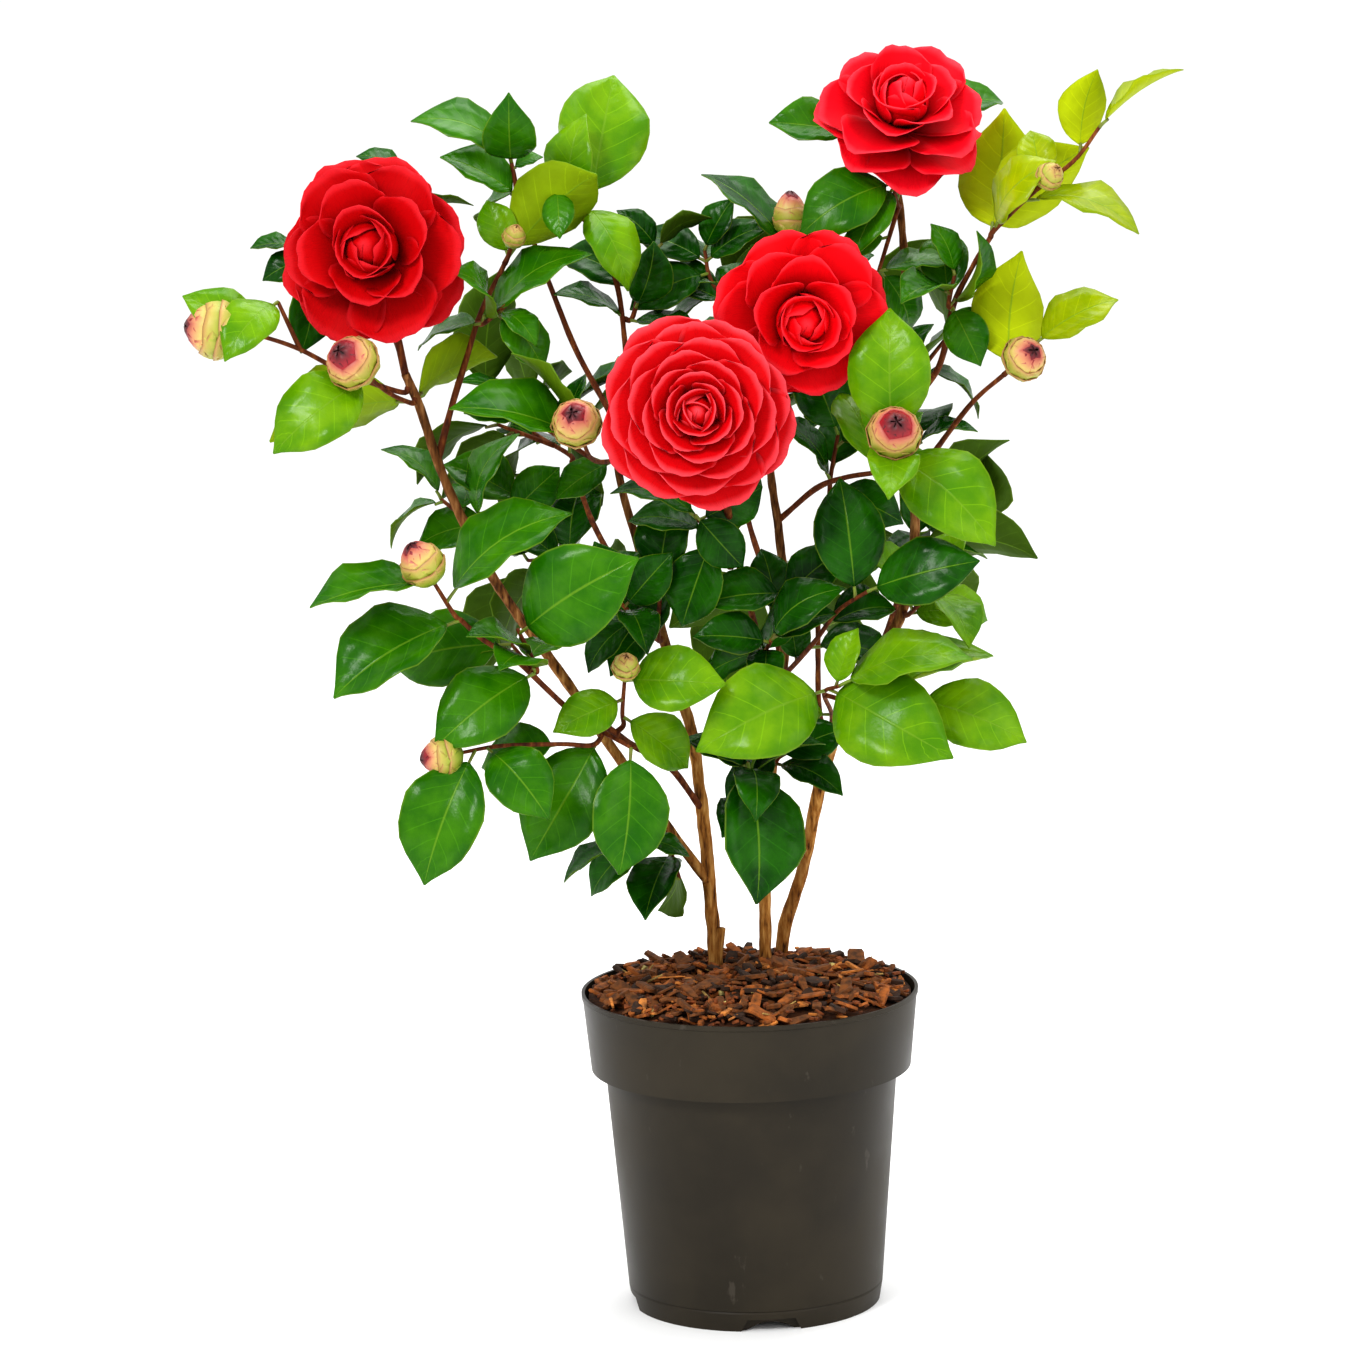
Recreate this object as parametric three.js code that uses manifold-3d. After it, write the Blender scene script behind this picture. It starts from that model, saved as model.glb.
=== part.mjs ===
// Camellia shrub in its nursery pot: three woody stems, boughs, leafy masses and four double blooms.
// Millimetres, +Z up, -Y towards the viewer. The origin is the centre of the pot's flat underside.
import * as THREE from 'three';
import { mergeVertices } from 'three/addons/utils/BufferGeometryUtils.js';
import Module from 'manifold-3d';

const wasm = await Module();
wasm.setup();

// ---- driving sizes ----
const clearance = 0.3; // between neighbouring solids
const leastGap = 0.25; // below this a leaf is moved or skipped
const pot = {
  height: 161, rimRadius: 85, rimBand: 2.6, rimProud: 0.6, wall: 1.4, segments: 26,
  collarRadius: 80.8, collarFoot: 121.8, bodyTopRadius: 73.8,
  grooveHeight: 10.4, grooveRadius: 64.7, grooveWidth: 1.2, grooveDepth: 0.7,
  footRadius: 63.1, footRingWidth: 3.2, baseDiscRadius: 28, channelDepth: 4, floor: 6.4,
  notches: 4, notchTurn: 6, notchWide: 31, notchNarrow: 24, notchHeight: 5.5,
};
const soil = { top: 150, wallGap: 0.4, mulchEdge: 158.5, mulchCrown: 167.5, chips: 10, chipLength: 22 };
const wood = { facet: 22, rootFlare: 1.35, flareHeight: 16 };
const rootVolume = 5; // cubic millimetres that a leaf may share with its own twig
const leafShape = { widthPerLength: 0.56, keelPerLength: 0.036, petiole: 0.85, arch: 0.55, nudge: 11, small: 55 };
const twigShape = { root: 1.5, tip: 0.95, sides: 3, facet: 30, heel: 5 };
const petalShape = { thick: 1.8, notch: 0.87, shoulder: 0.98, points: 3, whorlStep: 3 };
const fineness = 0.1; // edges finer than this are merged after fusing

const colours = {
  pot: 0x39322d, compost: 0x2c1d14, mulch: 0x6b3a22, bark: 0x8a6a45, youngBark: 0x7b4a2c,
  foliage: 0x2f7d1c, bloom: 0xc01828,
};

// Limbs: control points of the centre line, radius at the root and at the tip.
// A limb with "from" grows out of the side or the end of the limb it names.
const limbs = {
  stem_left: {
    path: [[-16, 20, 150], [-18, 21, 192], [-21, 18, 240], [-26, 12, 289], [-34, 8, 318], [-42, 2, 352],
      [-50, -4, 386], [-59, 0, 421], [-60, 6, 448]],
    radius: [3.8, 1.7], sides: 7, foot: true,
  },
  stem_middle: {
    path: [[9, 21, 150], [9, 24, 200], [12, 24, 252], [18, 22, 304], [22, 18, 335], [22, 14, 362],
      [19, 8, 398], [16, 0, 424], [17, -4, 450]],
    radius: [3.2, 1.8], sides: 7, foot: true,
  },
  stem_right: {
    path: [[16, 53, 150], [19, 50, 180], [29, 44, 213], [39, 34, 260], [50, 26, 295], [62, 20, 317],
      [79, 14, 345], [86, 10, 372], [88, 14, 405], [88, 20, 455], [86, 22, 500], [84, 20, 542], [81, 16, 566]],
    radius: [3.6, 1.8], sides: 7, foot: true,
  },
  bough_left: {
    from: 'stem_left',
    path: [[-20, 19, 213], [-41, 8, 245], [-67, -6, 288], [-91, -14, 327], [-119, -20, 370],
      [-137, -24, 407], [-148, -26, 436], [-156, -30, 464], [-162, -34, 480]],
    radius: [2.7, 2.2], sides: 7,
  },
  fork_left: {
    from: 'bough_left',
    path: [[-148, -26, 436], [-141, -20, 460], [-134, -14, 481], [-125, -10, 507], [-113, -6, 530]],
    radius: [1.8, 1.2], sides: 6,
  },
  branch_low_left: {
    from: 'stem_left',
    path: [[-22, 17, 250], [-38, -10, 278], [-55, -40, 294], [-69, -60, 308], [-83, -70, 316],
      [-96, -74, 329], [-110, -78, 344], [-126, -84, 356], [-136, -88, 366]],
    radius: [1.8, 1.2], sides: 6,
  },
  shoot_top_left: {
    from: 'stem_left',
    path: [[-60, 6, 448], [-70, 9, 467], [-80, 10, 487], [-91, 10, 517], [-101, 6, 547], [-105, 4, 561]],
    radius: [1.6, 1.2], sides: 6,
  },
  shoot_top_middle: {
    from: 'stem_left',
    path: [[-58, 2, 432], [-54, 12, 462], [-55, 20, 488], [-58, 22, 515], [-66, 20, 539], [-76, 16, 552]],
    radius: [1.5, 1.2], sides: 6,
  },
  stem_front: {
    from: 'stem_middle',
    path: [[17, 22, 298], [9, 6, 335], [1, -16, 371], [-3, -24, 388]],
    radius: [1.7, 1.5], sides: 6,
  },
  branch_middle: {
    from: 'stem_middle',
    path: [[20, 8, 398], [38, -6, 415], [52, -20, 422], [66, -34, 426]],
    radius: [1.6, 1.2], sides: 6,
  },
  stem_inner: {
    from: 'stem_right',
    path: [[43, 31, 275], [38, 10, 303], [38, 0, 344], [38, -4, 374], [44, 0, 405]],
    radius: [1.5, 1.2], sides: 6,
  },
  shoot_right_top: {
    from: 'stem_right',
    path: [[88, 20, 455], [101, 10, 473], [108, 0, 504], [117, -6, 523], [126, -10, 538]],
    radius: [1.8, 1.2], sides: 6,
  },
  shoot_right_low: {
    from: 'stem_right',
    path: [[88, 15, 416], [104, 0, 440], [117, -12, 458], [131, -20, 471]],
    radius: [1.5, 1.2], sides: 6,
  },
  bough_back_left: {
    from: 'stem_left',
    path: [[-38, 5, 336], [-56, 32, 362], [-74, 58, 392], [-84, 78, 420]],
    radius: [1.9, 1.3], sides: 6,
  },
  bough_back_middle: {
    from: 'stem_middle',
    path: [[20, 20, 322], [16, 48, 352], [6, 74, 386], [-2, 92, 420]],
    radius: [1.9, 1.3], sides: 6,
  },
  bough_back_right: {
    from: 'stem_right',
    path: [[70, 17, 330], [82, 44, 356], [90, 66, 386], [92, 84, 416]],
    radius: [1.9, 1.3], sides: 6,
  },
};

// Leafy masses. "on" is the limb and the place on it, counted in its control points. Each twig runs on
// from there, or from the place "at" on an earlier twig "of" the mass. A leaf row is
// [place on the twig, clock angle in the front view, length, lean to the viewer, face, turn]: face 0 shows
// the upper side to the viewer, 90 to the sky, and past 90 the underside shows.
const masses = {
  west_bud: { on: ['bough_left', 7.6], twigs: [
    { path: [[-190, -50, 483], [-211, -60, 496], [-228, -65, 503], [-239, -66, 505]], bud: [13, 27],
      leaves: [[0.78, 150, 46, 0, 35]] },
    { of: 0, at: 0.6, path: [[-221, -58, 519]], leaves: [[1, 232, 44, 20, 20]] }] },
  west_low: { on: ['bough_left', 7.2], twigs: [
    { path: [[-170, -56, 474], [-180, -74, 486]], bud: [12, 25],
      leaves: [[0.9, 213, 60, 20, 30], [0.2, 194, 77, -10, 125], [0.85, 42, 54, -5, 150]] }] },
  west_top: { on: ['bough_left', 7.9], twigs: [
    { path: [[-172, -16, 505], [-194, -8, 522], [-214, -10, 542]],
      leaves: [[1, 178, 24, 0, 55], [0.92, 205, 26, 10, 25], [0.9, 262, 46, 10, 20, 30], [0.6, 150, 40, -25, 60]] },
    { of: 0, at: 0.4, path: [[-168, -4, 552], [-160, -2, 574]],
      leaves: [[1, 155, 26, 0, 65], [0.5, 10, 42, 0, 100]] }] },
  top_middle: { on: ['shoot_top_middle', 5], twigs: [
    { path: [[-70, 12, 557]],
      leaves: [[1, 79, 70, -30, 12]] }] },
  fork_tip: { on: ['fork_left', 4], twigs: [
    { path: [[-109, -9, 540]], bud: [5, 12],
      leaves: [[0.4, 45, 65, 5, 140], [0.5, 108, 30, -10, 40]] }] },
  fork_side: { on: ['fork_left', 2.8], twigs: [
    { path: [[-120, -22, 505], [-112, -28, 512]],
      leaves: [[0.6, 32, 62, -5, 75], [1, 75, 44, -25, 30], [0.4, 200, 40, -20, 60], [0.8, -50, 36, 10, 50]] }] },
  top_left: { on: ['shoot_top_left', 5], twigs: [
    { path: [[-107, 2, 572], [-109, 0, 583]],
      leaves: [[1, 157, 50, 10, 60], [0.9, 92, 45, 45, 20], [0.8, 20, 16, 0, 50], [0.1, 149, 44, 5, 60],
        [0.3, 215, 34, -40, 60]] },
    { of: 0, at: 0.4, path: [[-97, -3, 572], [-86, -5, 566]],
      leaves: [[1, 272, 28, 35, 20], [0.9, 20, 30, -30, 60]] }] },
  top_centre: { on: ['shoot_top_middle', 2.4], twigs: [
    { path: [[-46, 30, 515], [-38, 34, 532]],
      leaves: [[0.6, 140, 46, 0, 35], [0.1, 145, 42, 20, 55], [0.2, -12, 40, 15, 50], [1, 134, 28, 0, 70],
        [1, 30, 32, 0, 100], [0.45, 75, 36, 10, 25]] }] },
  top_heart: { on: ['stem_middle', 7.4], twigs: [
    { path: [[3, 30, 491], [-11, 40, 515], [-14, 44, 530]],
      leaves: [[1, 60, 30, 0, 60], [0.9, 150, 40, -10, 50], [0.8, 200, 44, 15, 30], [0.9, 30, 38, 10, 50],
        [0.6, 170, 46, -20, 60]] }] },
  north_bud: { on: ['stem_middle', 7.7], twigs: [
    { path: [[26, 22, 480], [29, 30, 512], [29, 29, 537]], bud: [8, 23],
      leaves: [[0.92, 134, 60, 0, 75, 30], [0.8, 175, 30, 0, 60], [0.75, 20, 46, -15, 60], [0.55, 190, 44, -15, 50],
        [0.6, 45, 40, 15, 40]] }] },
  right_crown: { on: ['stem_right', 11.4], twigs: [
    { path: [[80, 4, 559], [80, -6, 566]],
      leaves: [[1, 207, 54, 10, 50], [0.6, 203, 46, -15, 140]] },
    { of: 0, at: 0.35, path: [[71, -6, 522]], leaves: [[1, 6, 38, 0, 60]] }] },
  bloom_collar: { on: ['stem_right', 11.8], twigs: [
    { path: [[76, 30, 574], [62, 32, 588]],
      leaves: [[1, 170, 43, 0, 50], [0.8, 140, 30, 0, 30]] },
    { of: 0, at: 0.3, path: [[98, 34, 588], [106, 30, 596]],
      leaves: [[1, 48, 36, 10, 60], [0.8, 10, 40, -30, 60]] }] },
  east_top: { on: ['shoot_right_top', 4], twigs: [
    { path: [[146, -22, 560], [166, -30, 576], [178, -34, 592]],
      leaves: [[0.05, 82, 69, 5, 160], [0.25, 50, 50, 25, 50], [0.8, 77, 42, 0, 150], [1, 38, 48, 0, 80],
        [0.45, -14, 58, 10, 88], [0.55, 100, 30, -20, 60], [0.06, 48, 63, -25, 150]] },
    { of: 0, at: 0.5, path: [[151, -31, 566]], bud: [6, 15] }] },
  east_bud: { on: ['shoot_right_low', 3], twigs: [
    { path: [[137, -28, 477]], bud: [10, 20],
      leaves: [[0.4, 83, 66, -30, 165]] },
    { of: 0, at: 0.4, path: [[147, -13, 485]], leaves: [[1, 26, 47, 0, 50]] }] },
  east_middle: { on: ['shoot_right_top', 2], twigs: [
    { path: [[106, -8, 510], [108, -14, 520]],
      leaves: [[0.36, 97, 43, 5, 20, 55], [1, 110, 28, -15, 40], [0.85, 28, 34, -15, 60], [0.08, -65, 34, 0, 30],
        [0.26, -38, 36, -15, 40]] }] },
  right_heart: { on: ['branch_middle', 3], twigs: [
    { path: [[73, -48, 436], [74, -64, 445]], bud: [12, 25],
      leaves: [[0.95, 86, 66, -16, 8], [0.7, -38, 70, 25, 25], [0.3, 50, 36, -15, 60], [0.2, 5, 34, -10, 70],
        [0.1, 100, 50, -15, 20, 50]] }] },
  inner_tip: { on: ['stem_inner', 4], twigs: [
    { path: [[46, 6, 420], [50, 8, 440]],
      leaves: [[1, 110, 48, 0, 40], [0.9, 30, 46, -10, 50], [0.6, 160, 44, 10, 50], [0.4, -20, 40, 10, 40],
        [0.7, 70, 46, -30, 60]] }] },
  red_twig: { on: ['stem_middle', 3.5], twigs: [
    { path: [[36, -20, 341], [47, -40, 359], [61, -58, 371]],
      leaves: [[1, 15, 60, 20, 30], [0.9, 95, 60, -10, 15], [0.45, -15, 48, -15, 60], [0.62, 12, 40, -25, 50],
        [0.35, 100, 26, 0, 30]] }] },
  right_side: { on: ['stem_right', 6.2], twigs: [
    { path: [[90, -4, 357], [96, -12, 364]],
      leaves: [[0.4, 2, 34, 5, 45], [1, 62, 34, -15, 50], [0.8, -30, 34, -25, 50]] }] },
  right_low: { on: ['stem_right', 3.6], twigs: [
    { path: [[44, 0, 300], [39, -50, 320], [46, -72, 327]],
      leaves: [[0.8, 202, 72, 25, 25], [0.85, -24, 74, 30, 28], [1, 2, 66, 10, 55], [0.95, 62, 30, -10, 55],
        [0.5, 190, 40, -10, 50]] },
    { of: 0, at: 0.72, path: [[62, -58, 314], [82, -60, 318]],
      leaves: [[1, -18, 58, 10, 35], [0.8, -60, 26, 0, 30], [0.4, 17, 74, -20, 85]] },
    { of: 1, at: 0.5, path: [[70, -68, 315]], bud: [9, 20] }] },
  low_middle: { on: ['stem_middle', 1.7], twigs: [
    { path: [[6, 0, 261], [2, -34, 278], [1, -46, 285]],
      leaves: [[1, 272, 72, 25, 12], [0.8, 150, 36, 0, 50], [0.7, 20, 40, -5, 50]] },
    { of: 0, at: 0.5, path: [[18, -18, 284]], leaves: [[1, 223, 38, 0, 30], [0.9, 30, 36, 0, 50]] }] },
  middle_front: { on: ['stem_front', 1], twigs: [
    { path: [[12, -26, 339], [14, -38, 345]],
      leaves: [[0.9, 172, 38, 10, 55], [1, 20, 34, 5, 50], [0.5, 205, 40, -15, 50]] },
    { of: 0, at: 0.5, path: [[22, -28, 366]],
      leaves: [[1, 185, 42, 10, 45], [0.9, 40, 38, 0, 40], [0.6, 100, 36, -20, 40]] }] },
  middle_heart: { on: ['stem_front', 2.6], twigs: [
    { path: [[-16, -34, 398], [-22, -40, 408]],
      leaves: [[1, -50, 36, 0, 40], [0.9, 25, 38, -20, 30], [0.6, 250, 46, -10, 40], [0.7, 170, 42, -15, 50]] }] },
  left_heart: { on: ['stem_left', 4.7], twigs: [
    { path: [[-51, -20, 353], [-61, -30, 365]],
      leaves: [[0.9, 48, 38, 0, 40], [1, 112, 34, 0, 50], [0.7, 225, 36, 0, 40], [0.5, 160, 40, -20, 50]] },
    { of: 0, at: 0.35, path: [[-40, -22, 372]], leaves: [[1, 80, 44, 0, 40], [0.8, 160, 38, -10, 40]] }] },
  young_tip: { on: ['branch_low_left', 8], twigs: [
    { path: [[-149, -99, 388]], bud: [10, 23],
      leaves: [[0.95, 188, 62, 10, 72], [0.06, 211, 70, 15, 40], [0.7, 35, 74, 0, 65]] }] },
  young_middle: { on: ['branch_low_left', 5.6], twigs: [
    { path: [[-109, -92, 362]],
      leaves: [[0.95, 36, 76, 25, 12], [0.3, 212, 66, 20, 15]] },
    { of: 0, at: 0.2, path: [[-113, -64, 350]], leaves: [[1, 190, 62, -8, 45]] }] },
  young_low: { on: ['branch_low_left', 3.1], twigs: [
    { path: [[-75, -74, 301], [-90, -80, 303], [-119, -92, 305], [-138, -97, 303]], bud: [9, 20],
      leaves: [[0.92, 250, 68, 10, 20], [0.86, -45, 48, 25, 25], [0.6, 200, 46, -25, 50], [0.22, 236, 68, 10, 20]] },
    { of: 0, at: 0.12, path: [[-56, -77, 300]], leaves: [[1, 263, 64, 12, 12]] }] },
  young_up: { on: ['branch_low_left', 2.6], twigs: [
    { path: [[-60, -58, 314], [-58, -78, 336]], bud: [6, 15],
      leaves: [[0.8, 198, 40, 25, 30], [0.95, 1, 50, 15, 30], [0.6, -42, 42, -5, 25]] }] },
  low_back: { on: ['bough_left', 1], twigs: [
    { path: [[-50, -14, 243], [-62, -30, 243]],
      leaves: [[1, 212, 36, 0, 60], [0.8, -20, 28, 0, 60], [0.6, 150, 36, -20, 50]] },
    { of: 0, at: 0.2, path: [[-34, 0, 218]], leaves: [[1, 188, 28, 0, 70]] }] },
  centre_left: { on: ['stem_left', 7.3], twigs: [
    { path: [[-72, -34, 436], [-77, -66, 454]], bud: [11, 23],
      leaves: [[0.9, 165, 68, 5, 60], [0.95, 128, 54, -10, 110], [0.35, 211, 34, 10, 35]] },
    { of: 0, at: 0.6, path: [[-102, -56, 460]], leaves: [[1, 176, 32, 0, 60], [0.9, 80, 36, -10, 40]] }] },
  bough_side: { on: ['bough_left', 4.8], twigs: [
    { path: [[-119, -8, 402], [-108, 0, 412]],
      leaves: [[1, 155, 42, 0, 30], [0.6, 195, 44, -15, 25], [0.8, 40, 36, -10, 40]] },
    { of: 0, at: 0.3, path: [[-148, 2, 413]], leaves: [[1, 138, 40, -5, 60]] }] },
};

// Masses on the far side: [limb, place on it, heading of the main twig, its length, leaves].
const backMasses = {
  back_left_low: ['bough_back_left', 1.5, [-0.55, 0.5, -0.1], 58, 7],
  back_left_top: ['bough_back_left', 3, [-0.7, 0.5, 0.5], 62, 7],
  back_middle_low: ['bough_back_middle', 1.2, [0.3, 0.85, -0.15], 56, 7],
  back_middle_top: ['bough_back_middle', 3, [0, 0.35, 1], 84, 8],
  back_right_low: ['bough_back_right', 1.3, [0.15, 0.9, 0.2], 54, 7],
  back_right_top: ['bough_back_right', 3, [-0.1, 0.4, 0.92], 78, 8],
};

// Blooms: the limb that carries the flowering twig, the twig's way, the flower's facing and size,
// and its whorls of petals, outermost first: [petals, reach, tilt from the flower's axis, bow].
const doubleWhorls = [[8, 0.5, 84, -0.1], [7, 0.46, 62, 0.12], [6, 0.43, 42, 0.16], [4, 0.38, 22, 0.16]];
const formalWhorls = [[9, 0.5, 88, -0.1], [8, 0.48, 70, 0.08], [7, 0.44, 52, 0.14], [6, 0.4, 32, 0.16]];
const blooms = {
  bloom_west: { on: ['bough_left', 8], path: [[-166, -30, 500], [-172, -26, 524]], facing: [-0.1, -0.95, 0.2],
    seat: [-174, -36, 539], size: 92, whorls: doubleWhorls, cone: 0.3 },
  bloom_front: { on: ['stem_front', 3], path: [[-8, -45, 420], [-16, -70, 448]], facing: [0, -0.97, 0.16],
    seat: [-20, -84, 463], size: 102, whorls: formalWhorls, cone: 0.2 },
  bloom_centre: { on: ['stem_middle', 8], path: [[20, -14, 472], [28, -26, 494]], facing: [0.08, -0.97, -0.05],
    seat: [31, -40, 505], size: 82, whorls: doubleWhorls, cone: 0.32 },
  bloom_east: { on: ['stem_right', 12], path: [[81, 12, 580]], facing: [0.12, -0.68, 0.72],
    seat: [82, 4, 592], size: 82, whorls: doubleWhorls, cone: 0.26 },
};

// ---- small helpers ----
const vec = (p) => new THREE.Vector3(...p);
const rad = THREE.MathUtils.degToRad;
const goldenAngle = rad(137.5);

// A repeatable stream of numbers from 0 to 1 for each name.
function seeded(name) {
  let state = 2166136261;
  for (const letter of name) state = Math.imul(state ^ letter.charCodeAt(0), 16777619);
  return () => {
    state = (state + 0x6d2b79f5) | 0;
    let t = Math.imul(state ^ (state >>> 15), 1 | state);
    t = (t + Math.imul(t ^ (t >>> 7), 61 | t)) ^ t;
    return ((t ^ (t >>> 14)) >>> 0) / 4294967296;
  };
}

function toSolid(geometry) {
  geometry.deleteAttribute('normal');
  geometry.deleteAttribute('uv');
  const merged = mergeVertices(geometry, 1e-4);
  const triVerts = Uint32Array.from(merged.index.array);
  return new wasm.Manifold(new wasm.Mesh({
    numProp: 3, vertProperties: Float32Array.from(merged.attributes.position.array), triVerts,
  }));
}

function toGeometry(solid) {
  const mesh = solid.getMesh();
  const geometry = new THREE.BufferGeometry();
  geometry.setAttribute('position', new THREE.BufferAttribute(Float32Array.from(mesh.vertProperties), 3));
  geometry.setIndex(new THREE.BufferAttribute(Uint32Array.from(mesh.triVerts), 1));
  geometry.computeVertexNormals();
  return geometry;
}

// Cleared of its finest edges, the largest shell alone: this fills a hollow that fusing sealed and
// drops loose scraps.
function wholePiece(solid) {
  return solid.simplify(fineness).decompose()
    .reduce((best, part) => (part.volume() > best.volume() ? part : best));
}

const fuse = (solids) => wholePiece(wasm.Manifold.union(solids));

// A closed solid through rings of equal count; a ring of one point closes it to a tip.
function loft(rings) {
  const points = [];
  const starts = rings.map((ring) => points.push(...ring) - ring.length);
  const faces = [];
  for (let i = 0; i + 1 < rings.length; i += 1) {
    const sides = Math.max(rings[i].length, rings[i + 1].length);
    for (let k = 0; k < sides; k += 1) {
      const next = (k + 1) % sides;
      const [a, b] = [k, next].map((n) => starts[i] + (rings[i].length > 1 ? n : 0));
      const [c, d] = [next, k].map((n) => starts[i + 1] + (rings[i + 1].length > 1 ? n : 0));
      if (a !== b) faces.push(a, b, c);
      if (c !== d) faces.push(a, c, d);
    }
  }
  const last = rings.length - 1;
  for (let k = 1; k + 1 < rings[0].length; k += 1) faces.push(0, k + 1, k);
  for (let k = 1; k + 1 < rings[last].length; k += 1) faces.push(starts[last], starts[last] + k, starts[last] + k + 1);
  return solidOf(points, faces);
}

// Turns the faces round when they come out pointing inwards.
function solidOf(points, faces) {
  let volume = 0;
  for (let i = 0; i < faces.length; i += 3) {
    const [a, b, c] = [0, 1, 2].map((k) => points[faces[i + k]]);
    volume += a.dot(b.clone().cross(c));
  }
  const index = volume < 0 ? [...faces].reverse() : faces;
  const geometry = new THREE.BufferGeometry();
  geometry.setAttribute('position', new THREE.Float32BufferAttribute(points.flatMap((p) => p.toArray()), 3));
  geometry.setIndex(index);
  return toSolid(geometry);
}

const curveThrough = (path) => new THREE.CatmullRomCurve3(path.map(vec), false, 'catmullrom', 0.5);

// A tapering round limb along a curve: radiusAt(u) gives its radius from root (0) to tip (1).
function taperedSolid(curve, sections, sides, radiusAt, grow = 0) {
  const rings = [];
  let across = new THREE.Vector3(1, 0, 0);
  for (let i = 0; i <= sections; i += 1) {
    const u = i / sections;
    const tangent = curve.getTangent(u);
    across = across.clone().addScaledVector(tangent, -across.dot(tangent)).normalize();
    const up = tangent.clone().cross(across);
    const centre = curve.getPoint(u);
    const radius = radiusAt(u) + grow;
    rings.push(Array.from({ length: sides }, (_, k) => {
      const turn = (2 * Math.PI * k) / sides;
      return centre.clone().addScaledVector(across, radius * Math.cos(turn))
        .addScaledVector(up, radius * Math.sin(turn));
    }));
  }
  return loft(rings);
}

// ---- pot, compost and bark mulch ----
function turned(profile, segments) {
  const lathe = new THREE.LatheGeometry(profile.map(([r, z]) => new THREE.Vector2(r, z)), segments);
  return toSolid(lathe.rotateX(Math.PI / 2));
}

// Outer radius of the pot's body at a height between foot and collar.
const bodyRadius = (z) => pot.grooveRadius
  + ((pot.bodyTopRadius - pot.grooveRadius) * (z - pot.grooveHeight)) / (pot.collarFoot - pot.grooveHeight);

function potSolid() {
  const { height, rimRadius, rimBand, rimProud, wall, grooveHeight, grooveRadius, grooveWidth, footRadius } = pot;
  const channelOuter = footRadius - pot.footRingWidth;
  const ledge = pot.collarFoot + wall;
  const shell = turned([
    [0, 0], [pot.baseDiscRadius, 0], [pot.baseDiscRadius + 2, pot.channelDepth],
    [channelOuter - 2, pot.channelDepth], [channelOuter, 0], [footRadius, 0],
    [grooveRadius - 0.1, grooveHeight - grooveWidth], [grooveRadius - pot.grooveDepth, grooveHeight],
    [grooveRadius, grooveHeight + 0.1], [pot.bodyTopRadius, pot.collarFoot - 0.6],
    [pot.collarRadius, pot.collarFoot], [rimRadius - rimProud, height - rimBand],
    [rimRadius, height - rimBand + 0.4], [rimRadius, height], [rimRadius - wall - 0.3, height],
    [pot.collarRadius - wall, ledge], [pot.bodyTopRadius - wall, ledge - 1],
    [bodyRadius(pot.floor) - wall, pot.floor], [0, pot.floor],
  ], pot.segments);
  const notches = Array.from({ length: pot.notches }, (_, i) => notchSolid(i));
  return shell.subtract(wasm.Manifold.union(notches));
}

// A wedge-sided slot through the foot ring.
function notchSolid(i) {
  const outline = new THREE.Shape([
    new THREE.Vector2(-pot.notchWide / 2, -1), new THREE.Vector2(pot.notchWide / 2, -1),
    new THREE.Vector2(pot.notchNarrow / 2, pot.notchHeight), new THREE.Vector2(-pot.notchNarrow / 2, pot.notchHeight),
  ]);
  const ringInner = pot.footRadius - pot.footRingWidth - 1.2;
  const slot = new THREE.ExtrudeGeometry(outline, { depth: 12, bevelEnabled: false });
  slot.rotateX(Math.PI / 2).translate(0, -ringInner, 0);
  return toSolid(slot.rotateZ(rad(pot.notchTurn) + (i * 2 * Math.PI) / pot.notches));
}

function compostSolid() {
  const inset = pot.wall + soil.wallGap;
  const ledge = pot.collarFoot + pot.wall + clearance;
  const collarSlope = (pot.rimRadius - pot.collarRadius) / (pot.height - pot.collarFoot);
  const topRadius = pot.collarRadius - inset + (soil.top - pot.collarFoot) * collarSlope * 0.8;
  return turned([
    [0, pot.floor + clearance], [bodyRadius(pot.floor) - inset - 0.2, pot.floor + clearance],
    [pot.bodyTopRadius - inset, ledge], [pot.collarRadius - inset - 0.3, ledge], [topRadius, soil.top],
    [0, soil.top],
  ], pot.segments);
}

// A low dome of bark with loose chips bedded in it.
function mulchSolid(stems) {
  const base = soil.top + clearance;
  const edge = pot.rimRadius - pot.wall - 2.2;
  const rise = soil.mulchCrown - soil.mulchEdge;
  const domeAt = (r) => soil.mulchEdge + rise * (1 - (r / edge) ** 2);
  const dome = turned([[0, base], [edge - 1.2, base], [edge, soil.mulchEdge], [edge * 0.62, domeAt(edge * 0.62)],
    [edge * 0.3, domeAt(edge * 0.3)], [0, soil.mulchCrown]], pot.segments);
  const draw = seeded('bark mulch');
  const chips = Array.from({ length: soil.chips }, (_, i) => {
    const r = edge * (0.2 + 0.68 * Math.sqrt(draw()));
    const turn = i * goldenAngle;
    const size = soil.chipLength * (0.7 + 0.5 * draw());
    const chip = new THREE.BoxGeometry(size, size * (0.3 + 0.25 * draw()), 3.2);
    chip.rotateX(draw() * 0.5 - 0.25).rotateY(draw() * 0.4 - 0.2).rotateZ(draw() * 6.3);
    return toSolid(chip.translate(r * Math.cos(turn), r * Math.sin(turn), domeAt(r) + 0.3));
  });
  return wholePiece(wasm.Manifold.union([dome, ...chips]).subtract(wasm.Manifold.union(stems)));
}

// ---- limbs ----
const limbCurves = Object.fromEntries(Object.entries(limbs).map(([name, limb]) => [name, curveThrough(limb.path)]));

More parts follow.
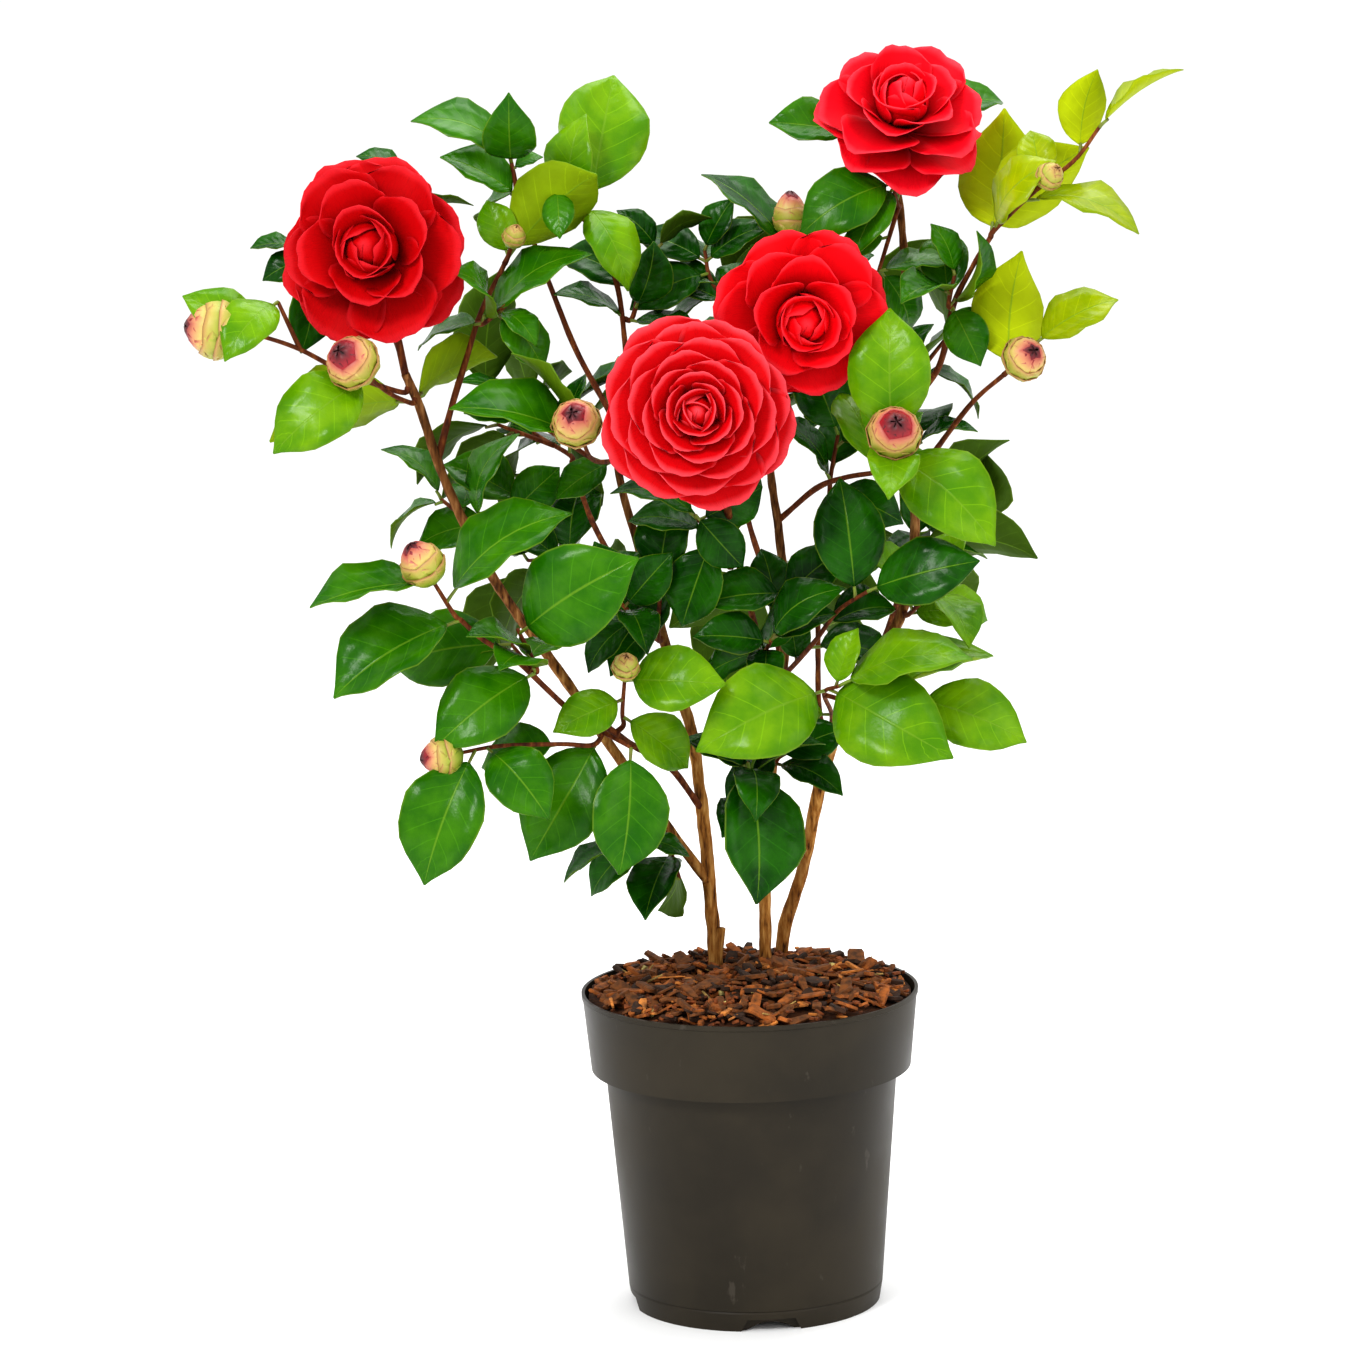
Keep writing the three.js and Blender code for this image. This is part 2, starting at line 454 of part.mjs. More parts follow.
function limbRadius(limb, u) {
  const [root, tip] = limb.radius;
  const along = u * limb.path.at(-1)[2] + (1 - u) * limb.path[0][2] - limb.path[0][2];
  const flare = limb.foot ? (wood.rootFlare - 1) * Math.max(0, 1 - along / wood.flareHeight) : 0;
  return (root + (tip - root) * u) * (1 + flare);
}

const limbSections = (name) => Math.round(limbCurves[name].getLength() / wood.facet);

function limbSolid(name, grow = 0) {
  const limb = limbs[name];
  return taperedSolid(limbCurves[name], limbSections(name), limb.sides, (u) => limbRadius(limb, u), grow);
}

// A point on the chords that stand in for a curve, u from its root (0) to its tip (1).
function chordPoint(curve, sections, u) {
  const i = Math.min(sections - 1, Math.floor(u * sections));
  const [near, far] = [i, i + 1].map((k) => curve.getPoint(k / sections));
  return near.lerp(far, u * sections - i);
}

const limbPoint = (name, u) => chordPoint(limbCurves[name], limbSections(name), u);

// Cuts a foot level, so a leaning stem stands flat on the compost.
function levelFoot(solid) {
  const block = new THREE.BoxGeometry(60, 60, 40).translate(0, 40, soil.top + clearance - 20);
  return solid.subtract(toSolid(block));
}

// ---- leaves, buds, petals and twigs ----
// A thin blade with a keel under its midrib. Each station is [place, half width, keel depth].
function bladeSolid({ root, heading, face, length, stations, arch }) {
  const side = heading.clone().cross(face).normalize();
  return loft(stations.map(([s, half, keel]) => {
    const bow = arch * (0.25 - (s - 0.5) ** 2) * length;
    const centre = root.clone().addScaledVector(heading, s * length).addScaledVector(face, bow);
    if (half === 0) return [centre];
    return [
      centre.clone().addScaledVector(side, -half).addScaledVector(face, keel * 0.4),
      centre.clone().addScaledVector(side, half).addScaledVector(face, keel * 0.4),
      centre.clone().addScaledVector(face, -keel * 0.6),
    ];
  }));
}

function leafSolid(leaf) {
  const half = (leaf.length * leafShape.widthPerLength * leaf.broad) / 2;
  const keel = leaf.length * leafShape.keelPerLength;
  const { petiole, small } = leafShape;
  const blade = leaf.length < small ? [[0.5, half, keel]] : [[0.36, half, keel], [0.7, half * 0.86, keel * 0.8]];
  return bladeSolid({ ...leaf, stations: [[0, petiole, 2 * petiole], ...blade, [1, 0, 0]] });
}

function budSolid(base, heading, radius, length) {
  const across = new THREE.Vector3(0.3, 0.5, 0.8).cross(heading).normalize();
  const up = heading.clone().cross(across);
  const ring = (s, share) => Array.from({ length: 5 }, (_, k) => base.clone()
    .addScaledVector(heading, s * length)
    .addScaledVector(across, radius * share * Math.cos(k * rad(72)))
    .addScaledVector(up, radius * share * Math.sin(k * rad(72))));
  return loft([[base], ring(0.35, 1), ring(0.7, 0.85), [base.clone().addScaledVector(heading, length)]]);
}

const twigSections = (curve) => Math.max(2, Math.round(curve.getLength() / twigShape.facet));
const twigPoint = (curve, u) => chordPoint(curve, twigSections(curve), u);

function twigSolid(curve, root, tip) {
  return taperedSolid(curve, twigSections(curve), twigShape.sides, (u) => root + (tip - root) * u);
}

// ---- the rule that grows a mass ----
const heading = (clock, lean) => new THREE.Vector3(
  Math.cos(rad(clock)) * Math.cos(rad(lean)), -Math.sin(rad(lean)), Math.sin(rad(clock)) * Math.cos(rad(lean)));

function squareTo(axis, wish) {
  return wish.clone().addScaledVector(axis, -wish.dot(axis)).normalize();
}

function leafAt(root, clock, length, lean, face, turn, draw) {
  const way = heading(clock + 6 * (draw() - 0.5), lean + 8 * (draw() - 0.5));
  const wish = new THREE.Vector3(Math.sin(rad(turn)) * Math.cos(rad(face)),
    -Math.cos(rad(turn)) * Math.cos(rad(face)), Math.sin(rad(face)));
  return {
    root, heading: way, face: squareTo(way, wish), length: length * (0.97 + 0.06 * draw()),
    broad: 0.94 + 0.14 * draw(), arch: leafShape.arch * (0.6 + 0.8 * draw()),
  };
}

// Where a stem leaves its limb: just clear of the limb's tip, or square off its side, then onwards.
function stemFoot([limbName, place], next) {
  const limb = limbs[limbName];
  const u = Math.min(1, place / (limb.path.length - 1));
  const point = limbPoint(limbName, u);
  const along = limbCurves[limbName].getTangent(u);
  const out = u === 1 ? along : squareTo(along, vec(next).sub(point));
  const gap = u === 1 ? clearance : limbRadius(limb, u) + clearance;
  const foot = point.clone().addScaledVector(out, gap);
  const heel = Math.min(twigShape.heel, 0.4 * foot.distanceTo(vec(next)));
  return [foot, foot.clone().addScaledVector(out, heel)].map((p) => p.toArray());
}

// Twigs, leaves and buds of a mass that is laid out leaf by leaf.
function laidOutMass(name, mass) {
  const draw = seeded(name);
  const grown = { twigs: [], leaves: [], buds: [] };
  mass.twigs.forEach((twig) => {
    const parent = grown.twigs[twig.of];
    const from = parent ? [twigPoint(parent.curve, twig.at).toArray()] : stemFoot(mass.on, twig.path[0]);
    const curve = curveThrough([...from, ...twig.path]);
    const root = parent ? twigShape.root * 0.85 : twigShape.root;
    grown.twigs.push({ curve, root, tip: twigShape.tip });
    (twig.leaves ?? []).forEach(([s, clock, length, lean, face, turn = 0]) => {
      grown.leaves.push(leafAt(twigPoint(curve, s), clock, length, lean, face, turn, draw));
    });
    if (twig.bud) {
      const way = curve.getTangent(1);
      grown.buds.push({ base: curve.getPoint(1).addScaledVector(way, -1), way, radius: twig.bud[0], length: twig.bud[1] });
    }
  });
  return grown;
}

// Twigs and leaves of a mass on the far side: a main twig, two side twigs and leaves set round them
// at the golden angle, each facing the twig's tip and the sky.
function wildMass(name, [limbName, place, way, reach, leafCount]) {
  const draw = seeded(name);
  const main = vec(way).normalize();
  const across = squareTo(main, new THREE.Vector3(0, 0, 1)).cross(main);
  const grown = { twigs: [], leaves: [], buds: [] };
  const addTwig = (path) => {
    const curve = curveThrough(path);
    grown.twigs.push({ curve, root: twigShape.root, tip: twigShape.tip });
    return curve;
  };
  const limb = limbCurves[limbName].getPoint(place / (limbs[limbName].path.length - 1));
  const reached = (from, out, far) => from.clone().addScaledVector(out, far).toArray();
  const first = reached(limb, main, 0.45 * reach);
  const spine = addTwig([...stemFoot([limbName, place], first), first, reached(limb, main, reach)]);
  const fork = (sign, s) => {
    const from = twigPoint(spine, s);
    const out = main.clone().addScaledVector(across, sign * (0.8 + 0.3 * draw())).normalize();
    return addTwig([from.toArray(), reached(from, out, 0.5 * reach)]);
  };
  const curves = [spine, fork(1, 0.5), fork(-1, 0.7)];
  for (let i = 0; i < leafCount; i += 1) {
    const curve = curves[i % 3];
    const s = 1 - Math.floor(i / 3) * (0.26 + 0.05 * draw());
    const axis = curve.getTangent(s);
    const round = i * goldenAngle + draw();
    const out = squareTo(axis, new THREE.Vector3(0.2, -0.3, 1)).applyAxisAngle(axis, round);
    const wayOut = axis.clone().multiplyScalar(0.55).add(out).normalize();
    const wish = axis.clone().multiplyScalar(0.5).add(new THREE.Vector3(0, 0.35, 0.8));
    grown.leaves.push({
      root: twigPoint(curve, s), heading: wayOut, face: squareTo(wayOut, wish), length: 50 + 18 * draw(),
      broad: 0.94 + 0.14 * draw(), arch: leafShape.arch * (0.6 + 0.8 * draw()),
    });
  }
  return grown;
}

// The same leaf raised or lowered about its root.
function tilted(leaf, degrees) {
  const side = leaf.heading.clone().cross(leaf.face).normalize();
  return {
    ...leaf,
    heading: leaf.heading.clone().applyAxisAngle(side, rad(degrees)),
    face: leaf.face.clone().applyAxisAngle(side, rad(degrees)),
  };
}

// ---- blooms ----
// One whorl of petals joined at the foot: a lobed cup, one lobe to a petal, thin at its rim.
function whorlSolid(seat, axis, across, size, [count, reach, tilt, bow], turn, draw) {
  const points = count * petalShape.points;
  const outline = [1, petalShape.shoulder, petalShape.notch];
  const lean = rad(tilt);
  const stretch = Array.from({ length: count }, () => 0.96 + 0.08 * draw());
  const ring = (s, lift) => Array.from({ length: points }, (_, k) => {
    const petal = Math.floor(((k + 1) % points) / petalShape.points);
    const lobe = k % 3 === 1 ? outline[2] : outline[1] * stretch[petal];
    const far = size * reach * s * (s === 1 ? lobe : (1 + outline[2]) / 2);
    const out = across.clone().applyAxisAngle(axis, turn + (2 * Math.PI * k) / points);
    const rise = bow * 4 * s * (1 - s) * size * reach;
    return seat.clone().addScaledVector(out, far * Math.sin(lean) + rise * Math.cos(lean))
      .addScaledVector(axis, far * Math.cos(lean) - rise * Math.sin(lean) + lift);
  });
  const { thick } = petalShape;
  const hub = (lift) => [seat.clone().addScaledVector(axis, lift)];
  const rim = ring(1, 0);
  const faces = bow > 0 ? [ring(0.55, -thick / 2), rim] : [rim, ring(0.55, thick / 2)];
  return loft([hub(-thick), ...faces, hub(thick)]);
}

function bloomSolids(name, bloom) {
  const draw = seeded(name);
  const axis = vec(bloom.facing).normalize();
  const seat = vec(bloom.seat);
  const across = squareTo(axis, new THREE.Vector3(0.2, 0.1, 1));
  const { size } = bloom;
  const start = limbCurves[bloom.on[0]].getPoint(bloom.on[1] / (limbs[bloom.on[0]].path.length - 1));
  const twig = curveThrough([start.toArray(), ...bloom.path, bloom.seat]);
  const core = budSolid(seat.clone().addScaledVector(axis, -size * 0.07), axis, size * 0.09, size * 0.42);
  const whorls = bloom.whorls.map((whorl, i) => {
    const step = seat.clone().addScaledVector(axis, i * petalShape.whorlStep);
    return whorlSolid(step, axis, across, size, whorl, i * 0.5, draw);
  });
  return [taperedSolid(twig, 4, 5, (u) => 1.9 + 0.8 * u), core, ...whorls];
}

// ---- assembly ----
const shrub = new THREE.Group();
const placed = []; // every solid so far with its owner, for the clearance test

function addNode(name, solid, colour, roughness) {
  const material = new THREE.MeshStandardMaterial({ color: colour, roughness, metalness: 0, flatShading: true });
  const mesh = new THREE.Mesh(toGeometry(solid), material);
  mesh.name = name;
  shrub.add(mesh);
}

function remember(owner, solid) {
  placed.push({ owner, solid, box: solid.boundingBox() });
}

const apart = (a, b) => [0, 1, 2].some((k) => a.min[k] > b.max[k] + clearance || b.min[k] > a.max[k] + clearance);

// A solid keeps clear of every other mass and limb, and crosses its own mass only at the root.
function isClear(solid, owner) {
  const box = solid.boundingBox();
  return placed.every((other) => {
    if (apart(box, other.box)) return true;
    if (other.owner === owner) return solid.intersect(other.solid).volume() < rootVolume;
    return solid.minGap(other.solid, 2 * clearance) >= leastGap;
  });
}

const stemNames = Object.keys(limbs).filter((name) => limbs[name].foot);
const grownStems = stemNames.map((name) => limbSolid(name, clearance + fineness));

addNode('pot', potSolid(), colours.pot, 0.45);
addNode('compost', compostSolid(), colours.compost, 0.95);
addNode('bark_mulch', mulchSolid(grownStems), colours.mulch, 0.9);

for (const name of Object.keys(limbs)) {
  let solid = limbSolid(name);
  if (limbs[name].foot) solid = levelFoot(solid);
  else solid = wholePiece(solid.subtract(limbSolid(limbs[name].from, clearance)));
  remember(name, solid);
  addNode(name, solid, limbs[name].foot ? colours.bark : colours.youngBark, 0.8);
}

for (const [name, bloom] of Object.entries(blooms)) {
  const solid = fuse(bloomSolids(name, bloom));
  const cut = wholePiece(solid.subtract(limbSolid(bloom.on[0], clearance)));
  remember(name, cut);
  addNode(name, cut, colours.bloom, 0.6);
}

const grownMasses = {};
for (const [name, mass] of Object.entries(masses)) grownMasses[name] = laidOutMass(name, mass);
for (const [name, row] of Object.entries(backMasses)) grownMasses[name] = wildMass(name, row);

// Twigs and buds first, so a leaf of any mass keeps clear of them.
for (const [name, mass] of Object.entries(grownMasses)) {
  const wooden = mass.twigs.map((twig) => twigSolid(twig.curve, twig.root, twig.tip));
  const buds = mass.buds.map((bud) => budSolid(bud.base, bud.way, bud.radius, bud.length));
  mass.core = wholePiece(wasm.Manifold.union([...wooden, ...buds]));
  remember(name, mass.core);
}

for (const [name, mass] of Object.entries(grownMasses)) {
  const kept = [];
  mass.leaves.forEach((leaf) => {
    const tries = [0, 1, -1, 2, -2, 3, -3].map((n) => leafSolid(tilted(leaf, n * leafShape.nudge)));
    const fits = tries.find((solid) => isClear(solid, name));
    if (!fits) return;
    kept.push(fits);
    remember(name, fits);
  });
  addNode(name, fuse([mass.core, ...kept]), colours.foliage, 0.5);
}

export default shrub;
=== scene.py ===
import math

import bmesh
import bpy
import numpy as np
from mathutils import Matrix, Vector, noise
from mathutils.bvhtree import BVHTree


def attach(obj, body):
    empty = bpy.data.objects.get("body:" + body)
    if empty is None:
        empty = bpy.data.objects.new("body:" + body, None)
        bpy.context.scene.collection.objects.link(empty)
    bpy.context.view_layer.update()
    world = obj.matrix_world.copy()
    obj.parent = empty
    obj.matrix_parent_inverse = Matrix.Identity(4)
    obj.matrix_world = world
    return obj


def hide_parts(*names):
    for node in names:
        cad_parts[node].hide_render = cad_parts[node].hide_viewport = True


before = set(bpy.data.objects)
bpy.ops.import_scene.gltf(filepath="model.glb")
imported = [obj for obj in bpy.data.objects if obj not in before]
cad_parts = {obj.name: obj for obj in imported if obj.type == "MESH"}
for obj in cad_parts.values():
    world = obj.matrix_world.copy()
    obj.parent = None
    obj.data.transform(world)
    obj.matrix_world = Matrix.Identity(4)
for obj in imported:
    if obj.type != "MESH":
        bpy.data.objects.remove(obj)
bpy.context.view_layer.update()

# Sizes are in millimetres unless a name says otherwise; meshes are made in metres.
mm = 0.001
goldenAngle = math.radians(137.5)

view = {"place": (-0.030, -2.6, 0.765), "pitch": 9.757, "roll": -1.352, "lens": 139.1, "sensor": 36.0}
lamps = [
    {"name": "keyLamp", "place": (-1.1, -1.7, 1.9), "aim": (-0.02, 0, 0.36), "size": (0.6, 0.6), "watts": 30},
    {"name": "topLamp", "place": (0.3, 0.5, 2.1), "aim": (0, 0, 0.40), "size": (1.3, 1.3), "watts": 24},
    {"name": "fillLamp", "place": (1.7, -1.5, 1.0), "aim": (0, 0, 0.30), "size": (1.2, 1.6), "watts": 8},
]
studio = {"floorSize": 80.0, "floorColour": (246, 246, 246), "floorRoughness": 0.7, "daylight": 0.95}


def placed(name, data):
    thing = bpy.data.objects.new(name, data)
    bpy.context.scene.collection.objects.link(thing)
    return thing


def makeCamera():
    data = bpy.data.cameras.new("viewer")
    data.sensor_width = view["sensor"]
    data.lens = view["lens"]
    camera = placed("viewer", data)
    pitch = Matrix.Rotation(math.radians(90 - view["pitch"]), 4, "X")
    roll = Matrix.Rotation(math.radians(view["roll"]), 4, "Z")
    camera.matrix_world = Matrix.Translation(view["place"]) @ pitch @ roll
    bpy.context.scene.camera = camera


def makeLamps():
    for lamp in lamps:
        data = bpy.data.lights.new(lamp["name"], "AREA")
        data.shape = "RECTANGLE"
        data.size, data.size_y = lamp["size"]
        data.energy = lamp["watts"]
        shining = placed(lamp["name"], data)
        shining.location = lamp["place"]
        towards = Vector(lamp["aim"]) - Vector(lamp["place"])
        shining.rotation_euler = towards.to_track_quat("-Z", "Y").to_euler()


def makeFloor():
    bm = bmesh.new()
    bmesh.ops.create_grid(bm, x_segments=2, y_segments=2, size=studio["floorSize"] / 2)
    floor = placed("floor", meshOf("floor", bm))
    floor.data.materials.append(newMaterial("paleFloor", studio["floorColour"], studio["floorRoughness"]))
    world = bpy.data.worlds.new("studio")
    world.use_nodes = True
    sky = world.node_tree.nodes["Background"].inputs
    sky["Color"].default_value = (1, 1, 1, 1)
    sky["Strength"].default_value = studio["daylight"]
    bpy.context.scene.world = world
    bpy.context.scene.view_settings.view_transform = "Standard"
    bpy.context.scene.view_settings.look = "Medium High Contrast"


def tint(colour):  # 0-255 screen values to the linear colour that a socket takes
    channels = [c / 255 for c in colour]
    return tuple(c / 12.92 if c <= 0.04045 else ((c + 0.055) / 1.055) ** 2.4 for c in channels) + (1.0,)


def newMaterial(name, colour, roughness, specular=0.5):
    made = bpy.data.materials.new(name)
    made.use_nodes = True
    sockets = made.node_tree.nodes["Principled BSDF"].inputs
    sockets["Base Color"].default_value = tint(colour)
    sockets["Roughness"].default_value = roughness
    sockets["Specular IOR Level"].default_value = specular
    return made


def addNode(made, kind, inputs=None, **settings):
    fresh = made.node_tree.nodes.new(kind)
    for key, value in settings.items():
        setattr(fresh, key, value)
    for key, value in (inputs or {}).items():
        if isinstance(value, bpy.types.NodeSocket):
            made.node_tree.links.new(value, fresh.inputs[key])
        else:
            fresh.inputs[key].default_value = value
    return fresh


def maths(made, operation, a, b=0.0):
    return addNode(made, "ShaderNodeMath", {0: a, 1: b}, operation=operation).outputs[0]


def times(made, a, b):
    return maths(made, "MULTIPLY", a, b)


def ranged(made, value, low, high, toLow=0.0, toHigh=1.0):
    inputs = {"Value": value, "From Min": low, "From Max": high, "To Min": toLow, "To Max": toHigh}
    return addNode(made, "ShaderNodeMapRange", inputs, interpolation_type="SMOOTHSTEP").outputs[0]


def blended(made, share, a, b):
    a, b = (c if isinstance(c, bpy.types.NodeSocket) else tint(c) for c in (a, b))
    return addNode(made, "ShaderNodeMix", {0: share, 6: a, 7: b}, data_type="RGBA").outputs[2]


def ramped(made, value, stops):
    ramp = addNode(made, "ShaderNodeValToRGB", {0: value})
    line = ramp.color_ramp
    while len(line.elements) < len(stops):
        line.elements.new(0.5)
    for element, (place, colour) in zip(line.elements, stops):
        element.position = place
        element.color = tint(colour)
    return ramp.outputs[0]


def coordinates(made, source):
    place = addNode(made, "ShaderNodeTexCoord").outputs[source]
    return addNode(made, "ShaderNodeSeparateXYZ", {0: place}).outputs


def clouds(made, scale, detail, stretch=(1, 1, 1), source="Object"):
    place = addNode(made, "ShaderNodeTexCoord").outputs[source]
    turned = addNode(made, "ShaderNodeMapping", {"Vector": place, "Scale": stretch}).outputs[0]
    inputs = {"Vector": turned, "Scale": scale, "Detail": detail, "Roughness": 0.55}
    return addNode(made, "ShaderNodeTexNoise", inputs).outputs[0]


def shade(made, socket, value):
    made.node_tree.links.new(value, made.node_tree.nodes["Principled BSDF"].inputs[socket])


def bumped(made, height, strength, depthMm):
    bump = addNode(made, "ShaderNodeBump", {"Height": height, "Strength": strength, "Distance": depthMm * mm})
    shade(made, "Normal", bump.outputs[0])


def newPiece(name, mesh, materials, slot, nodes):
    for made in materials:
        mesh.materials.append(made)
    mesh.shade_smooth()
    piece = placed(name, mesh)
    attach(piece, "root")
    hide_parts(*nodes)
    return piece


def meshOf(name, bm):
    mesh = bpy.data.meshes.new(name)
    bm.to_mesh(mesh)
    bm.free()
    return mesh


def between(span, share):
    return span[0] + (span[1] - span[0]) * share


# A flat patch that leaves, petals and scales are shaped from: s runs along it, 0 to 1, t across it, -1 to 1.
def makePatch(along, across):
    bm = bmesh.new()
    bmesh.ops.create_grid(bm, x_segments=along, y_segments=across, size=1)
    bm.verts.ensure_lookup_table()
    return patchFrom(bm, lambda co: ((co.x + 1) / 2, co.y))


def patchFrom(bm, place):
    points = np.array([v.co for v in bm.verts], float)
    flat = np.array([place(v.co) for v in bm.verts], float)
    faces = [[v.index for v in f.verts] for f in bm.faces]
    bm.free()
    return {"points": points, "s": flat[:, 0], "t": flat[:, 1], "faces": faces}


# One mesh from many shaped copies of a patch; every copy is a list of points in millimetres.
def joinedCopies(name, patch, copies):
    count = len(patch["points"])
    sizes = [len(f) for f in patch["faces"]]
    corners = np.concatenate([np.array(f) for f in patch["faces"]])
    points = np.concatenate(copies) * mm
    loops = np.concatenate([corners + i * count for i in range(len(copies))])
    starts = np.concatenate([[0], np.cumsum(np.tile(sizes, len(copies)))[:-1]])
    mesh = bpy.data.meshes.new(name)
    mesh.vertices.add(len(points))
    mesh.vertices.foreach_set("co", points.astype(np.float32).ravel())
    mesh.loops.add(len(loops))
    mesh.loops.foreach_set("vertex_index", loops.astype(np.int32))
    mesh.polygons.add(len(starts))
    mesh.polygons.foreach_set("loop_start", starts.astype(np.int32))
    flat = np.stack([patch["s"], (patch["t"] + 1) / 2], axis=1)[corners]
    spread = np.tile(flat, (len(copies), 1)).astype(np.float32)
    mesh.uv_layers.new(name="UVMap").data.foreach_set("uv", spread.ravel())
    mesh.update(calc_edges=True)
    mesh.validate()
    return mesh


def thicken(piece, thickMm, backSlot=0):
    wall = piece.modifiers.new("thickness", "SOLIDIFY")
    wall.thickness = thickMm * mm
    wall.offset = -1
    wall.material_offset = backSlot
    wall.material_offset_rim = 0


def copiedPiece(name, patch, copies, materials, slot, nodes, thickMm, backSlot=0):
    piece = newPiece(name, joinedCopies(name, patch, copies), materials, slot, nodes)
    thicken(piece, thickMm, backSlot)


def curvePoint(path, u):
    place = min(max(u, 0), 1) * (len(path) - 1)
    i = min(int(place), len(path) - 2)
    w = place - i
    here, there = path[i], path[i + 1]
    before = path[i - 1] if i else 2 * here - there
    after = path[i + 2] if i + 2 < len(path) else 2 * there - here
    leave, arrive = 0.5 * (there - before), 0.5 * (after - here)
    return (here + leave * w + (3 * (there - here) - 2 * leave - arrive) * w * w
            + (2 * (here - there) + leave + arrive) * w ** 3)


def curveWay(path, u, step=1e-4):
    return (curvePoint(path, min(1, u + step)) - curvePoint(path, max(0, u - step))).normalized()


def curveLength(path, steps=40):
    points = [curvePoint(path, i / steps) for i in range(steps + 1)]
    return sum((b - a).length for a, b in zip(points, points[1:]))


def squareTo(axis, wish):
    return (wish - axis * wish.dot(axis)).normalized()


# A round limb along a path, from a grid that is rolled into a tube and closed at both ends.
def growTube(path, radiusAt, sides, step, relief=None):
    rings = max(3, round(curveLength(path) / step))
    frames, across = [], Vector((1, 0, 0))
    for i in range(rings + 1):
        way = curveWay(path, i / rings)
        across = squareTo(way, across)
        frames.append((curvePoint(path, i / rings), across, way.cross(across)))
    bm = bmesh.new()
    bmesh.ops.create_grid(bm, x_segments=rings, y_segments=sides, size=1)
    for v in bm.verts:
        i = round((v.co.x + 1) / 2 * rings)
        turn = (v.co.y + 1) * math.pi
        centre, across, up = frames[i]
        out = across * math.cos(turn) + up * math.sin(turn)
        radius = radiusAt(i / rings)
        if relief:
            radius += relief(centre, out, radius)
        v.co = centre + out * radius
    closeUp(bm)
    return bm


def closeUp(bm):
    bmesh.ops.remove_doubles(bm, verts=bm.verts[:], dist=1e-4)
    bmesh.ops.holes_fill(bm, edges=[e for e in bm.edges if e.is_boundary], sides=0)
    bmesh.ops.recalc_face_normals(bm, faces=bm.faces[:])


def toMetres(bm):
    bmesh.ops.scale(bm, vec=(mm, mm, mm), verts=bm.verts[:])


def joinedTubes(name, tubes):
    whole = bmesh.new()
    for bm in tubes:
        part = meshOf("part", bm)
        whole.from_mesh(part)
        bpy.data.meshes.remove(part)
    toMetres(whole)
    return meshOf(name, whole)


# A repeatable stream of numbers from 0 to 1 for each name.
def seeded(name):
    word, prime, stride = 0xffffffff, 16777619, 0x6d2b79f5
    state = 2166136261
    for letter in name:
        state = ((state ^ ord(letter)) * prime) & word

    def draw():
        nonlocal state
        state = (state + stride) & word
        t = ((state ^ (state >> 15)) * (1 | state)) & word
        t = ((t + (((t ^ (t >> 7)) * (61 | t)) & word)) & word) ^ t
        return ((t ^ (t >> 14)) & word) / (word + 1)

    return draw


pot = {
    "height": 161, "rimRadius": 85, "rimBand": 2.6, "rimProud": 0.6, "wall": 1.4, "lipRound": 0.45,
    "collarRadius": 80.8, "collarFoot": 121.8, "bodyTopRadius": 73.8,
    "grooveHeight": 10.4, "grooveRadius": 64.7, "grooveWidth": 1.2, "grooveDepth": 0.7,
    "footRadius": 63.1, "footRingWidth": 3.2, "baseDiscRadius": 28, "channelDepth": 6.2, "channelSlope": 2,
    "floor": 8.6, "notches": 4, "notchTurn": 6, "notchWide": 31, "notchNarrow": 24, "notchHeight": 6.2,
    "notchInset": 1.2, "notchReach": 12, "steps": 144, "roundAngle": 30, "smoothAngle": 50,
}
plastic = {
    "base": (42, 37, 27), "low": (38, 33, 24), "high": (49, 43, 32), "scuff": (72, 66, 58),
    "roughness": 0.42, "specular": 0.2, "patchScale": 14, "scuffScale": 130, "grainScale": 1500,
}


def bodyRadius(z):
    rise = (z - pot["grooveHeight"]) / (pot["collarFoot"] - pot["grooveHeight"])
    return between((pot["grooveRadius"], pot["bodyTopRadius"]), rise)


def potProfile():
    p = pot
    channel, slope = p["footRadius"] - p["footRingWidth"], p["channelSlope"]
    ledge, rimFoot = p["collarFoot"] + p["wall"], p["height"] - p["rimBand"]
    return [
        (0, 0), (p["baseDiscRadius"], 0), (p["baseDiscRadius"] + slope, p["channelDepth"]),
        (channel - slope, p["channelDepth"]), (channel, 0), (p["footRadius"], 0),
        (p["grooveRadius"] - 0.1, p["grooveHeight"] - p["grooveWidth"]),
        (p["grooveRadius"] - p["grooveDepth"], p["grooveHeight"]), (p["grooveRadius"], p["grooveHeight"] + 0.1),
        (p["bodyTopRadius"], p["collarFoot"] - 0.6), (p["collarRadius"], p["collarFoot"]),
        (p["rimRadius"] - p["rimProud"], rimFoot), (p["rimRadius"], rimFoot + 0.4),
        (p["rimRadius"], p["height"]), (p["rimRadius"] - p["wall"] - 0.3, p["height"]),
        (p["collarRadius"] - p["wall"], ledge), (p["bodyTopRadius"] - p["wall"], ledge - 1),
        (bodyRadius(p["floor"]) - p["wall"], p["floor"]), (0, p["floor"]),
    ]


def spun(profile, steps):
    bm = bmesh.new()
    verts = [bm.verts.new((r, 0, z)) for r, z in profile]
    edges = [bm.edges.new(pair) for pair in zip(verts, verts[1:])]
    bmesh.ops.spin(bm, geom=verts + edges, cent=(0, 0, 0), axis=(0, 0, 1), dvec=(0, 0, 0),
                   angle=math.tau, steps=steps, use_merge=True)
    closeUp(bm)
    toMetres(bm)
    return bm


